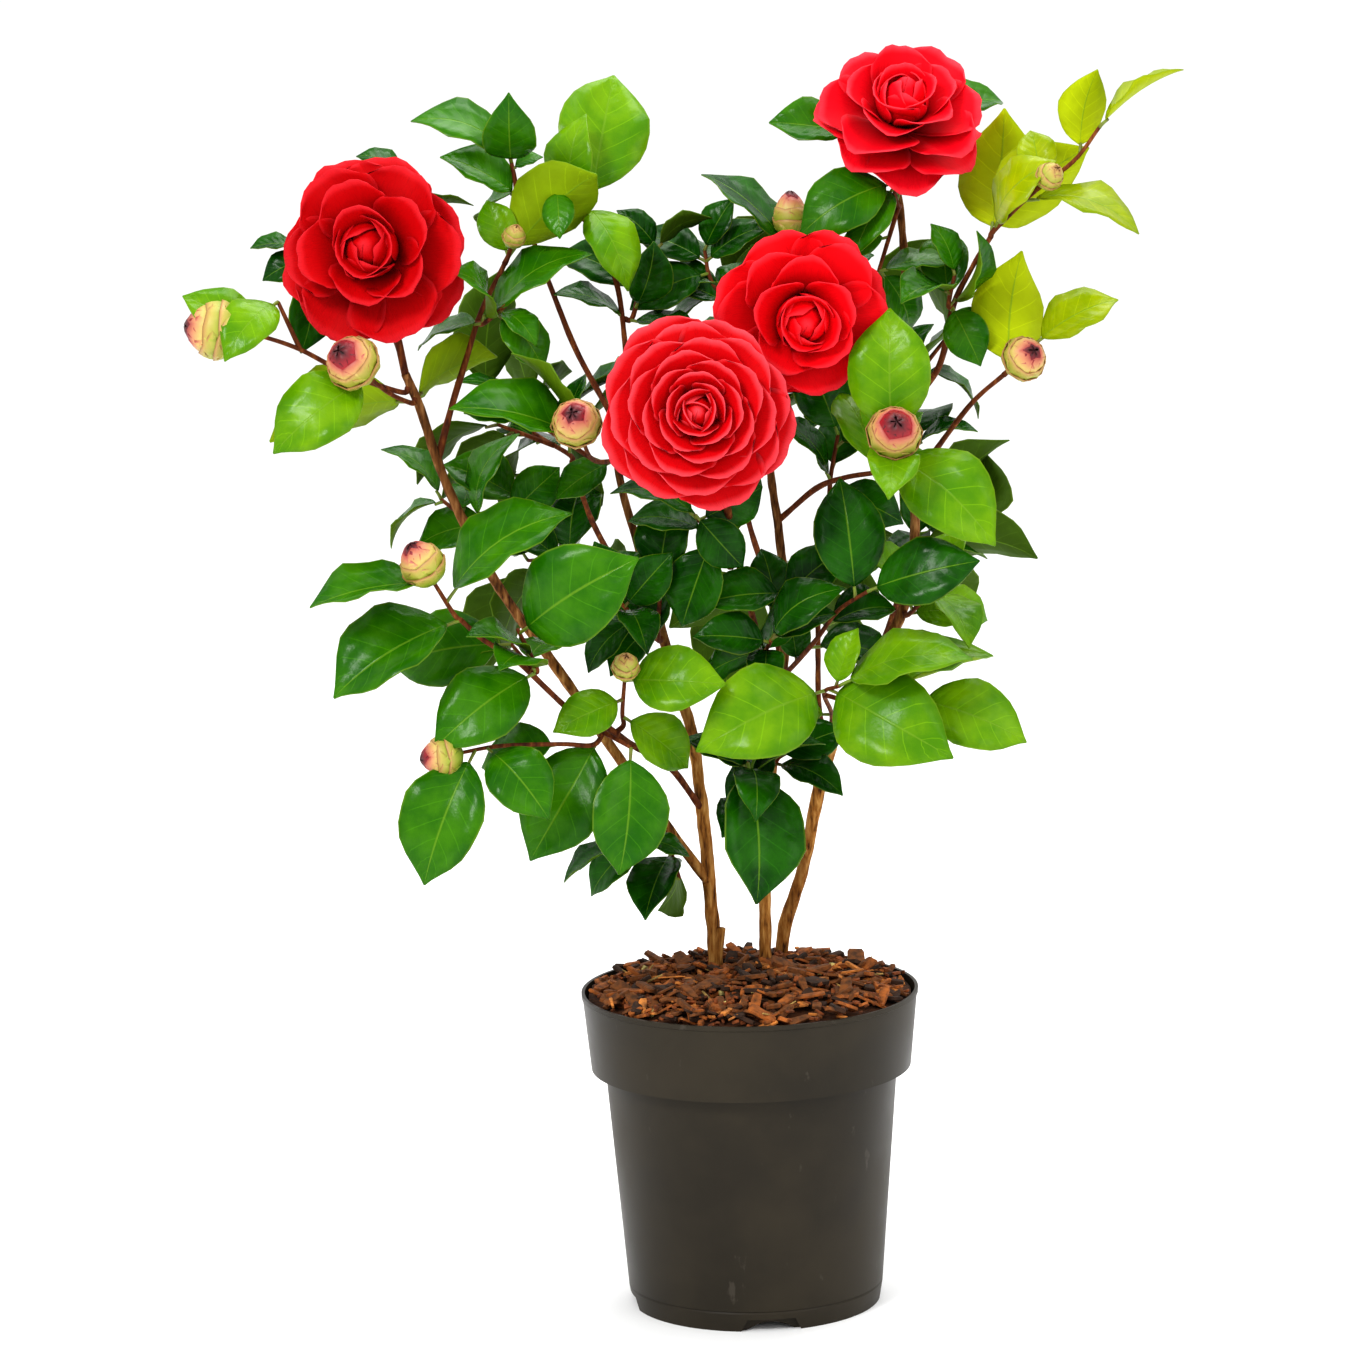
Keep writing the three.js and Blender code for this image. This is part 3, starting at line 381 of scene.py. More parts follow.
def notchCutters():
    bm = bmesh.new()
    inner = pot["footRadius"] - pot["footRingWidth"] - pot["notchInset"]
    low, high = pot["notchWide"] / 2, pot["notchNarrow"] / 2
    for i in range(pot["notches"]):
        outline = ((-low, -1), (low, -1), (high, pot["notchHeight"]), (-high, pot["notchHeight"]))
        corners = [bm.verts.new((x, -inner, z)) for x, z in outline]
        pulled = bmesh.ops.extrude_face_region(bm, geom=[bm.faces.new(corners)], use_keep_orig=True)
        moved = [g for g in pulled["geom"] if isinstance(g, bmesh.types.BMVert)]
        bmesh.ops.translate(bm, vec=(0, -pot["notchReach"], 0), verts=moved)
        turn = Matrix.Rotation(math.radians(pot["notchTurn"] + i * 360 / pot["notches"]), 3, "Z")
        bmesh.ops.rotate(bm, cent=(0, 0, 0), matrix=turn, verts=corners + moved)
    closeUp(bm)
    toMetres(bm)
    return meshOf("notches", bm)


def potPlastic():
    made = newMaterial("potPlastic", plastic["base"], plastic["roughness"], plastic["specular"])
    patches = clouds(made, plastic["patchScale"], 5)
    drift = blended(made, ranged(made, patches, 0.35, 0.7), plastic["low"], plastic["high"])
    scuffs = ranged(made, clouds(made, plastic["scuffScale"], 7, (1, 1, 0.5)), 0.66, 0.74, 0, 0.5)
    shade(made, "Base Color", blended(made, scuffs, drift, plastic["scuff"]))
    shade(made, "Roughness", ranged(made, patches, 0.3, 0.75, 0.36, 0.52))
    bumped(made, clouds(made, plastic["grainScale"], 3), 0.12, 0.12)
    return made


def makePot():
    shell = placed("potShell", meshOf("potShell", spun(potProfile(), pot["steps"])))
    cutter = placed("notchCutter", notchCutters())
    cut = shell.modifiers.new("notches", "BOOLEAN")
    cut.object = cutter
    cut.solver = "EXACT"
    bpy.context.view_layer.update()
    mesh = bpy.data.meshes.new_from_object(shell.evaluated_get(bpy.context.evaluated_depsgraph_get()))
    mesh.name = "nurseryPot"
    for thing in (shell, cutter):
        bpy.data.objects.remove(thing)
    piece = newPiece("nurseryPot", mesh, [potPlastic()], "pot_plastic", ["pot"])
    rounding = piece.modifiers.new("moulded edges", "BEVEL")
    rounding.width = pot["lipRound"] * mm
    rounding.segments = 2
    rounding.limit_method = "ANGLE"
    rounding.angle_limit = math.radians(pot["roundAngle"])
    mesh.set_sharp_from_angle(angle=math.radians(pot["smoothAngle"]))
    print("pot:", len(mesh.polygons), "faces")


soil = {
    "top": 150, "mulchEdge": 160.6, "mulchCrown": 168.5, "edge": 81.4, "segments": 120, "rings": 24,
    "bedDrop": 2.2, "lumps": ((0.16, 3, 1.6), (0.45, 9, 0.9)),
    "lumpFade": 6, "skirtDraft": 0.985, "skirtRise": 0.3,
}
# Dark and pale tone, scale of the grain, roughness and depth of the grain.
woodLooks = {
    "bed": ((34, 16, 6), (84, 46, 18), 220, 0.95, 1.2), "compost": ((30, 15, 8), (62, 34, 18), 160, 0.95, 1.0),
}
chipColumns = ("name", "count", "long", "wide", "thick", "colour")  # the width is a share of the length
chipKinds = [dict(zip(chipColumns, row)) for row in (
    ("chipsBrown", 210, (7, 19), (0.28, 0.6), (1.2, 2.8), (126, 72, 24)),
    ("chipsRusty", 200, (6, 16), (0.3, 0.6), (1.0, 2.4), (168, 94, 32)),
    ("chipsDark", 180, (5, 14), (0.35, 0.8), (1.2, 2.6), (62, 34, 12)),
    ("chipsPale", 90, (5, 14), (0.2, 0.45), (0.8, 1.8), (216, 136, 62)),
    ("crumbs", 520, (2.2, 5), (0.4, 0.9), (0.8, 1.8), (138, 72, 26)),
    ("straw", 26, (9, 20), (0.06, 0.1), (0.5, 0.8), (200, 164, 92)),
    ("granules", 16, (2.4, 3.6), (0.8, 1.0), (2.2, 3.2), (226, 208, 132)),
)]
pile = {"sink": 1.0, "loose": 4.2, "lean": 1.1, "roll": 0.8, "bend": 1.2, "shear": 0.6, "stemGap": 5,
        "heaping": 1.4, "shortness": 1.6, "overhang": 1, "chamfer": 0.12, "shadow": 0.48,
        "grain": (260, 0.85, 0.5), "smoothAngle": 32}


def domeHeight(r):
    return between((soil["mulchEdge"], soil["mulchCrown"]), 1 - (r / soil["edge"]) ** 2)


def woodyMaterial(name, dark, pale, scale, roughness, relief):
    made = newMaterial(name, dark, roughness)
    grain = clouds(made, scale, 7)
    shade(made, "Base Color", ramped(made, grain, [(0.3, dark), (0.62, pale)]))
    bumped(made, grain, 0.7, relief)
    return made


def makeMulchBed():
    bm = bmesh.new()
    edge = soil["edge"]
    bmesh.ops.create_circle(bm, segments=soil["segments"], radius=edge, cap_ends=True)
    for i in range(soil["rings"]):
        middle = [f for f in bm.faces if len(f.verts) > 4]
        bmesh.ops.inset_region(bm, faces=middle, thickness=edge / (soil["rings"] + 2))
    bmesh.ops.poke(bm, faces=[f for f in bm.faces if len(f.verts) > 4])
    for v in bm.verts:
        r = math.hypot(v.co.x, v.co.y)
        lumps = sum(noise.noise(Vector((v.co.x, v.co.y, level)) * scale) * size
                    for scale, level, size in soil["lumps"])
        v.co.z = domeHeight(r) - soil["bedDrop"] + lumps * min(1, (edge - r) / soil["lumpFade"] + 0.2)
    skirt = bmesh.ops.extrude_edge_only(bm, edges=[e for e in bm.edges if e.is_boundary])
    for g in skirt["geom"]:
        if isinstance(g, bmesh.types.BMVert):
            draft = soil["skirtDraft"]
            g.co = Vector((g.co.x * draft, g.co.y * draft, soil["top"] + soil["skirtRise"]))
    closeUp(bm)
    toMetres(bm)
    made = woodyMaterial("mulchSoil", *woodLooks["bed"])
    newPiece("mulchBed", meshOf("mulchBed", bm), [made], "bark_chips", ["bark_mulch"])


def chipPatch():
    bm = bmesh.new()
    bmesh.ops.create_cube(bm, size=1)
    bmesh.ops.bevel(bm, geom=bm.edges[:], offset=pile["chamfer"], offset_type="OFFSET", affect="EDGES",
                    segments=1, profile=0.5, material=-1)
    return patchFrom(bm, lambda co: (co.x + 0.5, 2 * co.y))


def chipCopies(kind, patch, stems):
    draw = seeded(kind["name"])
    copies = []
    while len(copies) < kind["count"]:
        r = (soil["edge"] - kind["long"][0] / 2) * math.sqrt(draw())
        around = draw() * math.tau
        height = domeHeight(r) - pile["sink"] + pile["loose"] * draw() ** pile["heaping"]
        spot = Vector((r * math.cos(around), r * math.sin(around), height))
        long = between(kind["long"], draw() ** pile["shortness"])
        wide = long * between(kind["wide"], draw())
        thick = between(kind["thick"], draw())
        tip = Matrix.Rotation(draw() * math.tau, 3, "Z")
        tip = tip @ Matrix.Rotation((draw() - 0.5) * pile["lean"], 3, "Y")
        tip = tip @ Matrix.Rotation((draw() - 0.5) * pile["roll"], 3, "X")
        taper = 0.5 + 0.5 * draw()
        bend = (draw() - 0.5) * pile["bend"]
        shear = (draw() - 0.5) * pile["shear"]
        lengthways = (tip @ Vector((1, 0, 0))).xy.normalized()
        reach = spot.xy.length + 0.5 * long * abs(lengthways.dot(spot.xy.normalized()))
        besideStem = any((spot.xy - s.xy).length < pile["stemGap"] + wide / 2 for s in stems)
        if besideStem or reach > soil["edge"] + pile["overhang"]:
            continue
        p = patch["points"].copy()
        p[:, 1] = (p[:, 1] + shear * p[:, 0]) * (1 - (1 - taper) * (p[:, 0] + 0.5))
        p[:, 2] += bend * p[:, 0] ** 2
        copies.append(p * (long, wide, thick) @ np.array(tip).T + np.array(spot))
    return copies


def makeChips(stems):
    patch = chipPatch()
    for kind in chipKinds:
        mesh = joinedCopies(kind["name"], patch, chipCopies(kind, patch, stems))
        dark = tuple(c * pile["shadow"] for c in kind["colour"])
        made = woodyMaterial(kind["name"], dark, kind["colour"], *pile["grain"])
        newPiece(kind["name"], mesh, [made], "bark_chips", ["bark_mulch"])
        mesh.set_sharp_from_angle(angle=math.radians(pile["smoothAngle"]))
    print("mulch: bed and", sum(k["count"] for k in chipKinds), "chips")


limbs = {
    "stem_left": {"radius": (3.8, 1.7), "foot": True, "path": [(-16, 20, 150), (-18, 21, 192),
        (-21, 18, 240), (-26, 12, 289), (-34, 8, 318), (-42, 2, 352), (-50, -4, 386), (-59, 0, 421),
        (-60, 6, 448)]},
    "stem_middle": {"radius": (3.2, 1.8), "foot": True, "path": [(9, 21, 150), (9, 24, 200), (12, 24, 252),
        (18, 22, 304), (22, 18, 335), (22, 14, 362), (19, 8, 398), (16, 0, 424), (17, -4, 450)]},
    "stem_right": {"radius": (3.6, 1.8), "foot": True, "path": [(16, 53, 150), (19, 50, 180), (29, 44, 213),
        (39, 34, 260), (50, 26, 295), (62, 20, 317), (79, 14, 345), (86, 10, 372), (88, 14, 405),
        (88, 20, 455), (86, 22, 500), (84, 20, 542), (81, 16, 566)]},
    "bough_left": {"radius": (2.7, 2.2), "path": [(-20, 19, 213), (-41, 8, 245), (-67, -6, 288),
        (-91, -14, 327), (-119, -20, 370), (-137, -24, 407), (-148, -26, 436), (-156, -30, 464),
        (-162, -34, 480)]},
    "fork_left": {"radius": (1.8, 1.2), "path": [(-148, -26, 436), (-141, -20, 460), (-134, -14, 481),
        (-125, -10, 507), (-113, -6, 530)]},
    "branch_low_left": {"radius": (1.8, 1.2), "path": [(-22, 17, 250), (-38, -10, 278), (-55, -40, 294),
        (-69, -60, 308), (-83, -70, 316), (-96, -74, 329), (-110, -78, 344), (-126, -84, 356),
        (-136, -88, 366)]},
    "shoot_top_left": {"radius": (1.6, 1.2), "path": [(-60, 6, 448), (-70, 9, 467), (-80, 10, 487),
        (-91, 10, 517), (-101, 6, 547), (-105, 4, 561)]},
    "shoot_top_middle": {"radius": (1.5, 1.2), "path": [(-58, 2, 432), (-54, 12, 462), (-55, 20, 488),
        (-58, 22, 515), (-66, 20, 539), (-76, 16, 552)]},
    "stem_front": {"radius": (1.7, 1.5), "path": [(17, 22, 298), (9, 6, 335), (1, -16, 371),
        (-3, -24, 388)]},
    "branch_middle": {"radius": (1.6, 1.2), "path": [(20, 8, 398), (38, -6, 415), (52, -20, 422),
        (66, -34, 426)]},
    "stem_inner": {"radius": (1.5, 1.2), "path": [(43, 31, 275), (38, 10, 303), (38, 0, 344), (38, -4, 374),
        (44, 0, 405)]},
    "shoot_right_top": {"radius": (1.8, 1.2), "path": [(88, 20, 455), (101, 10, 473), (108, 0, 504),
        (117, -6, 523), (126, -10, 538)]},
    "shoot_right_low": {"radius": (1.5, 1.2), "path": [(88, 15, 416), (104, 0, 440), (117, -12, 458),
        (131, -20, 471)]},
    "bough_back_left": {"radius": (1.9, 1.3), "path": [(-38, 5, 336), (-56, 32, 362), (-74, 58, 392),
        (-84, 78, 420)]},
    "bough_back_middle": {"radius": (1.9, 1.3), "path": [(20, 20, 322), (16, 48, 352), (6, 74, 386),
        (-2, 92, 420)]},
    "bough_back_right": {"radius": (1.9, 1.3), "path": [(70, 17, 330), (82, 44, 356), (90, 66, 386),
        (92, 84, 416)]},
}
wood = {
    "rootFlare": 1.35, "flareHeight": 16, "sides": 14, "step": 2.2, "plainSides": 8, "plainStep": 12,
    "old": ["stem_left", "stem_middle", "stem_right", "bough_left"],
    # Each wave of the bark: its reach round the limb and up it, its scale, and its share of the radius.
    "waves": ((1.6, 0.10, 1.21, 0.16), (0.5, 1, 0.09, 0.12), (0, 1, 0.55, 0.042)),
}
stub = {"on": "stem_left", "at": 0.05, "way": (0.15, -0.1, 0.98), "long": 22, "radius": (2.875, 2.185),
        "sides": 10, "step": 1.5}
barkLook = {
    "old": (150, 98, 44), "fresh": (98, 46, 22), "fibreScale": 420, "patchScale": 60, "streakScale": 380,
    "upperFrom": 0.26, "upperTo": 0.38,  # in metres above the ground
    "foot": [(0.34, (68, 38, 16)), (0.48, (154, 102, 46)), (0.7, (206, 158, 92))],
    "upper": [(0.34, (44, 24, 12)), (0.5, (102, 62, 34)), (0.72, (160, 114, 74))],
    "young": [(0.3, (62, 24, 10)), (0.55, (108, 54, 22)), (0.75, (150, 92, 42))],
    "patch": (104, 66, 30),
}


def limbPath(name):
    return [Vector(p) for p in limbs[name]["path"]]


def limbRadius(limb, u):
    rise = u * (limb["path"][-1][2] - limb["path"][0][2])
    flare = (wood["rootFlare"] - 1) * max(0, 1 - rise / wood["flareHeight"]) if limb.get("foot") else 0
    return between(limb["radius"], u) * (1 + flare)


def barkRelief(name):
    shift = Vector((seeded(name)() * 90, 0, 0))

    def relief(centre, out, radius):
        up = Vector((0, 0, centre.z))
        return radius * sum(size * noise.noise((out * radius * turn + up * along) * scale + shift)
                            for turn, along, scale, size in wood["waves"])

    return relief


def growLimb(name, plain=False):
    limb, path = limbs[name], limbPath(name)
    if plain:
        return growTube(path, lambda u: limbRadius(limb, u), wood["plainSides"], wood["plainStep"])
    return growTube(path, lambda u: limbRadius(limb, u), wood["sides"], wood["step"], barkRelief(name))


def growStub():
    foot = curvePoint(limbPath(stub["on"]), stub["at"])
    reach = Vector(stub["way"]).normalized() * stub["long"]
    path = [foot, foot + reach * 0.5, foot + reach]
    return growTube(path, lambda u: between(stub["radius"], u), stub["sides"], stub["step"])


def makeBark():
    oldBark = newMaterial("oldBark", barkLook["old"], 0.85, 0.15)
    fibres = clouds(oldBark, barkLook["fibreScale"], 8, (1, 1, 0.16))
    patches = clouds(oldBark, barkLook["patchScale"], 4, (1, 1, 0.5))
    height = coordinates(oldBark, "Object")[2]
    foot, upper = (ramped(oldBark, fibres, barkLook[part]) for part in ("foot", "upper"))
    rise = ranged(oldBark, height, barkLook["upperFrom"], barkLook["upperTo"], 0, 0.85)
    tone = blended(oldBark, rise, foot, upper)
    tone = blended(oldBark, ranged(oldBark, patches, 0.4, 0.75, 0, 0.5), tone, barkLook["patch"])
    shade(oldBark, "Base Color", tone)
    bumped(oldBark, fibres, 1.0, 0.7)

    youngBark = newMaterial("youngBark", barkLook["fresh"], 0.7, 0.2)
    streaks = clouds(youngBark, barkLook["streakScale"], 6, (1, 1, 0.2))
    shade(youngBark, "Base Color", ramped(youngBark, streaks, barkLook["young"]))
    bumped(youngBark, streaks, 0.5, 0.3)

    old = wood["old"]
    young = [n for n in limbs if n not in old]
    stems = joinedTubes("barkStems", [growLimb(n) for n in old] + [growStub()])
    newPiece("barkStems", stems, [oldBark], "bark", old)
    boughs = joinedTubes("barkBoughs", [growLimb(n) for n in young])
    newPiece("barkBoughs", boughs, [youngBark], "young_bark", young)
    print("bark:", len(stems.polygons) + len(boughs.polygons), "faces")
    return youngBark


# A twig starts on the limb, or at a place on one of the twigs before it. A bud is its radius and length. A leaf
# is its place along the twig, the angle it points to as seen from the front, its length, its lean towards the
# front, how far its face looks up and, for a few, how far it turns sideways.
masses = {
    "west_bud": {"on": ("bough_left", 7.6), "twigs": [
        {"path": [(-190, -50, 483), (-211, -60, 496), (-228, -65, 503),
         (-239, -66, 505)], "bud": (13, 27), "leaves": [(0.78, 150, 46, 0, 35)]},
        {"of": 0, "at": 0.6, "path": [(-221, -58, 519)], "leaves": [(1, 232, 44, 20, 20)]}]},
    "west_low": {"on": ("bough_left", 7.2), "twigs": [
        {"path": [(-170, -56, 474), (-180, -74, 486)], "bud": (12, 25), "leaves": [(0.9, 213, 60, 20, 30),
         (0.2, 194, 77, -10, 125), (0.1, 24, 56, -42, 150)]}]},
    "west_top": {"on": ("bough_left", 7.9), "twigs": [
        {"path": [(-172, -16, 505), (-194, -8, 522), (-214, -10, 542)], "leaves": [(1, 178, 24, 0, 55),
         (0.92, 205, 26, 10, 25), (0.9, 262, 46, 10, 20, 30), (0.6, 150, 40, -25, 60)]},
        {"of": 0, "at": 0.4, "path": [(-168, -4, 552), (-160, -2, 574)], "leaves": [(1, 155, 26, 0, 65),
         (0.5, 10, 42, 0, 100)]}]},
    "top_middle": {"on": ("shoot_top_middle", 5), "twigs": [
        {"path": [(-70, 12, 557)], "leaves": [(1, 79, 70, -30, 12)]}]},
    "fork_tip": {"on": ("fork_left", 4), "twigs": [
        {"path": [(-109, -9, 540)], "bud": (5, 12), "leaves": [(0.4, 45, 65, 5, 140),
         (0.5, 108, 30, -10, 40)]}]},
    "fork_side": {"on": ("fork_left", 2.8), "twigs": [
        {"path": [(-120, -22, 505), (-112, -28, 512)], "leaves": [(0.6, 32, 62, -5, 75),
         (1, 75, 44, -25, 30), (0.4, 200, 40, -20, 60), (0.8, -50, 36, 10, 50)]}]},
    "top_left": {"on": ("shoot_top_left", 5), "twigs": [
        {"path": [(-107, 2, 572), (-109, 0, 583)], "leaves": [(1, 157, 50, 10, 60), (0.9, 92, 45, 45, 20),
         (0.8, 20, 16, 0, 50), (0.1, 149, 44, 5, 60), (0.3, 215, 34, -40, 60)]},
        {"of": 0, "at": 0.4, "path": [(-97, -3, 572), (-86, -5, 566)], "leaves": [(1, 272, 28, 35, 20),
         (0.9, 20, 30, -30, 60)]}]},
    "top_centre": {"on": ("shoot_top_middle", 2.4), "twigs": [
        {"path": [(-46, 30, 515), (-38, 34, 532)], "leaves": [(0.6, 140, 46, 0, 35), (0.1, 145, 42, 20, 55),
         (0.2, -12, 40, 15, 50), (1, 134, 28, 0, 70), (1, 30, 32, 0, 100), (0.45, 75, 36, 10, 25)]}]},
    "top_heart": {"on": ("stem_middle", 7.4), "twigs": [
        {"path": [(3, 30, 491), (-11, 40, 515), (-14, 44, 530)], "leaves": [(1, 60, 30, 0, 60),
         (0.9, 150, 40, -10, 50), (0.8, 200, 44, 15, 30), (0.9, 30, 38, 10, 50), (0.6, 170, 46, -20, 60)]}]},
    "north_bud": {"on": ("stem_middle", 7.7), "twigs": [
        {"path": [(26, 22, 480), (29, 30, 512),
         (29, 29, 537)], "bud": (8, 23), "leaves": [(0.92, 134, 60, 0, 75, 30), (0.8, 175, 30, 0, 60),
         (0.75, 20, 46, -15, 60), (0.55, 190, 44, -15, 50), (0.6, 45, 40, 15, 40)]}]},
    "right_crown": {"on": ("stem_right", 11.4), "twigs": [
        {"path": [(80, 4, 559), (80, -6, 566)], "leaves": [(1, 207, 54, 10, 50), (0.6, 203, 46, -15, 140)]},
        {"of": 0, "at": 0.35, "path": [(71, -6, 522)], "leaves": [(1, 6, 38, 0, 60)]}]},
    "bloom_collar": {"on": ("stem_right", 11.8), "twigs": [
        {"path": [(76, 30, 574), (62, 32, 588)], "leaves": [(1, 170, 43, 0, 50), (0.8, 140, 30, 0, 30)]},
        {"of": 0, "at": 0.3, "path": [(98, 34, 588), (106, 30, 596)], "leaves": [(1, 48, 36, 10, 60),
         (0.8, 10, 40, -30, 60)]}]},
    "east_top": {"on": ("shoot_right_top", 4), "twigs": [
        {"path": [(146, -22, 560), (166, -30, 576), (178, -34, 592)], "leaves": [(0.05, 82, 69, 5, 160),
         (0.25, 50, 50, 25, 50), (0.8, 77, 42, 0, 150), (1, 38, 48, 0, 80), (0.45, -14, 58, 10, 88),
         (0.55, 100, 30, -20, 60), (0.06, 48, 63, -25, 150)]},
        {"of": 0, "at": 0.5, "path": [(151, -31, 566)], "bud": (6, 15)}]},
    "east_bud": {"on": ("shoot_right_low", 3), "twigs": [
        {"path": [(137, -28, 477)], "bud": (10, 20), "leaves": [(0.4, 83, 66, -30, 165)]},
        {"of": 0, "at": 0.4, "path": [(147, -13, 485)], "leaves": [(1, 26, 47, 0, 50)]}]},
    "east_middle": {"on": ("shoot_right_top", 2), "twigs": [
        {"path": [(106, -8, 510), (108, -14, 520)], "leaves": [(0.36, 97, 43, 5, 20, 55),
         (1, 110, 28, -15, 40), (0.85, 28, 34, -15, 60), (0.08, -65, 34, 0, 30), (0.26, -38, 36, -15, 40)]}]},
    "right_heart": {"on": ("branch_middle", 3), "twigs": [
        {"path": [(73, -48, 436), (74, -64, 445)], "bud": (12, 25), "leaves": [(0.95, 86, 66, -16, 8),
         (0.7, -38, 70, 25, 25), (0.3, 50, 36, -15, 60), (0.2, 5, 34, -10, 70),
         (0.1, 100, 50, -15, 20, 50)]}]},
    "inner_tip": {"on": ("stem_inner", 4), "twigs": [
        {"path": [(46, 6, 420), (50, 8, 440)], "leaves": [(1, 110, 48, 0, 40), (0.9, 30, 46, -10, 50),
         (0.6, 160, 44, 10, 50), (0.4, -20, 40, 10, 40), (0.7, 70, 46, -30, 60)]}]},
    "red_twig": {"on": ("stem_middle", 3.5), "twigs": [
        {"path": [(36, -20, 341), (47, -40, 359), (61, -58, 371)], "leaves": [(1, 15, 60, 20, 30),
         (0.9, 95, 60, -10, 15), (0.45, -15, 48, -15, 60), (0.62, 12, 40, -25, 50),
         (0.35, 100, 26, 0, 30)]}]},
    "right_side": {"on": ("stem_right", 6.2), "twigs": [
        {"path": [(90, -4, 357), (96, -12, 364)], "leaves": [(0.4, 2, 34, 5, 45), (1, 62, 34, -15, 50),
         (0.8, -30, 34, -25, 50)]}]},
    "right_low": {"on": ("stem_right", 3.6), "twigs": [
        {"path": [(44, 0, 300), (39, -50, 320), (46, -72, 327)], "leaves": [(0.8, 202, 72, 25, 25),
         (0.85, -24, 74, 30, 28), (1, 2, 66, 10, 55), (0.95, 62, 30, -10, 55), (0.5, 190, 40, -10, 50)]},
        {"of": 0, "at": 0.72, "path": [(62, -58, 314), (82, -60, 318)], "leaves": [(1, -18, 58, 10, 35),
         (0.8, -60, 26, 0, 30), (0.4, 17, 74, -20, 85)]},
        {"of": 1, "at": 0.5, "path": [(70, -68, 315)], "bud": (9, 20)}]},
    "low_middle": {"on": ("stem_middle", 1.7), "twigs": [
        {"path": [(6, 0, 261), (2, -34, 278), (1, -46, 285)], "leaves": [(1, 272, 72, 25, 12),
         (0.8, 150, 36, 0, 50), (0.7, 20, 40, -5, 50)]},
        {"of": 0, "at": 0.5, "path": [(18, -18, 284)], "leaves": [(1, 223, 38, 0, 30),
         (0.9, 30, 36, 0, 50)]}]},
    "middle_front": {"on": ("stem_front", 1), "twigs": [
        {"path": [(12, -26, 339), (14, -38, 345)], "leaves": [(0.9, 172, 38, 10, 55), (1, 20, 34, 5, 50),
         (0.5, 205, 40, -15, 50)]},
        {"of": 0, "at": 0.5, "path": [(22, -28, 366)], "leaves": [(1, 185, 42, 10, 45),
         (0.9, 40, 38, 0, 40), (0.6, 100, 36, -20, 40)]}]},
    "middle_heart": {"on": ("stem_front", 2.6), "twigs": [
        {"path": [(-16, -34, 398), (-22, -40, 408)], "leaves": [(1, -50, 36, 0, 40), (0.9, 25, 38, -20, 30),
         (0.6, 250, 46, -10, 40), (0.7, 170, 42, -15, 50)]}]},
    "left_heart": {"on": ("stem_left", 4.7), "twigs": [
        {"path": [(-51, -20, 353), (-61, -30, 365)], "leaves": [(0.9, 48, 38, 0, 40), (1, 112, 34, 0, 50),
         (0.7, 225, 36, 0, 40), (0.5, 160, 40, -20, 50)]},
        {"of": 0, "at": 0.35, "path": [(-40, -22, 372)], "leaves": [(1, 80, 44, 0, 40),
         (0.8, 160, 38, -10, 40)]}]},
    "young_tip": {"on": ("branch_low_left", 8), "twigs": [
        {"path": [(-149, -99, 388)], "bud": (10, 23), "leaves": [(0.95, 188, 62, 10, 72),
         (0.06, 211, 70, 15, 40), (0.7, 35, 74, 0, 65)]}]},
    "young_middle": {"on": ("branch_low_left", 5.6), "twigs": [
        {"path": [(-109, -92, 362)], "leaves": [(0.95, 36, 76, 25, 12), (0.3, 212, 66, 20, 15)]},
        {"of": 0, "at": 0.2, "path": [(-113, -64, 350)], "leaves": [(1, 190, 62, -8, 45)]}]},
    "young_low": {"on": ("branch_low_left", 3.1), "twigs": [
        {"path": [(-75, -74, 301), (-90, -80, 303), (-119, -92, 305),
         (-138, -97, 303)], "bud": (9, 20), "leaves": [(0.92, 250, 68, 10, 20), (0.86, -45, 48, 25, 25),
         (0.6, 200, 46, -25, 50), (0.22, 236, 68, 10, 20)]},
        {"of": 0, "at": 0.12, "path": [(-56, -77, 300)], "leaves": [(1, 263, 64, 12, 12)]}]},
    "young_up": {"on": ("branch_low_left", 2.6), "twigs": [
        {"path": [(-60, -58, 314), (-58, -78, 336)], "bud": (6, 15), "leaves": [(0.8, 198, 40, 25, 30),
         (0.95, 1, 50, 15, 30), (0.6, -42, 42, -5, 25)]}]},
    "low_back": {"on": ("bough_left", 1), "twigs": [
        {"path": [(-50, -14, 243), (-62, -30, 243)], "leaves": [(1, 212, 36, 0, 60), (0.8, -20, 28, 0, 60),
         (0.6, 150, 36, -20, 50)]},
        {"of": 0, "at": 0.2, "path": [(-34, 0, 218)], "leaves": [(1, 188, 28, 0, 70)]}]},
    "centre_left": {"on": ("stem_left", 7.3), "twigs": [
        {"path": [(-72, -34, 436), (-77, -66, 454)], "bud": (11, 23), "leaves": [(0.9, 165, 68, 5, 60),
         (0.95, 128, 54, -10, 110), (0.35, 211, 34, 10, 35)]},
        {"of": 0, "at": 0.6, "path": [(-102, -56, 460)], "leaves": [(1, 176, 32, 0, 60),
         (0.9, 80, 36, -10, 40)]}]},
    "bough_side": {"on": ("bough_left", 4.8), "twigs": [
        {"path": [(-119, -8, 402), (-108, 0, 412)], "leaves": [(1, 155, 42, 0, 30), (0.6, 195, 44, -15, 25),
         (0.8, 40, 36, -10, 40)]},
        {"of": 0, "at": 0.3, "path": [(-148, 2, 413)], "leaves": [(1, 138, 40, -5, 60)]}]},
}

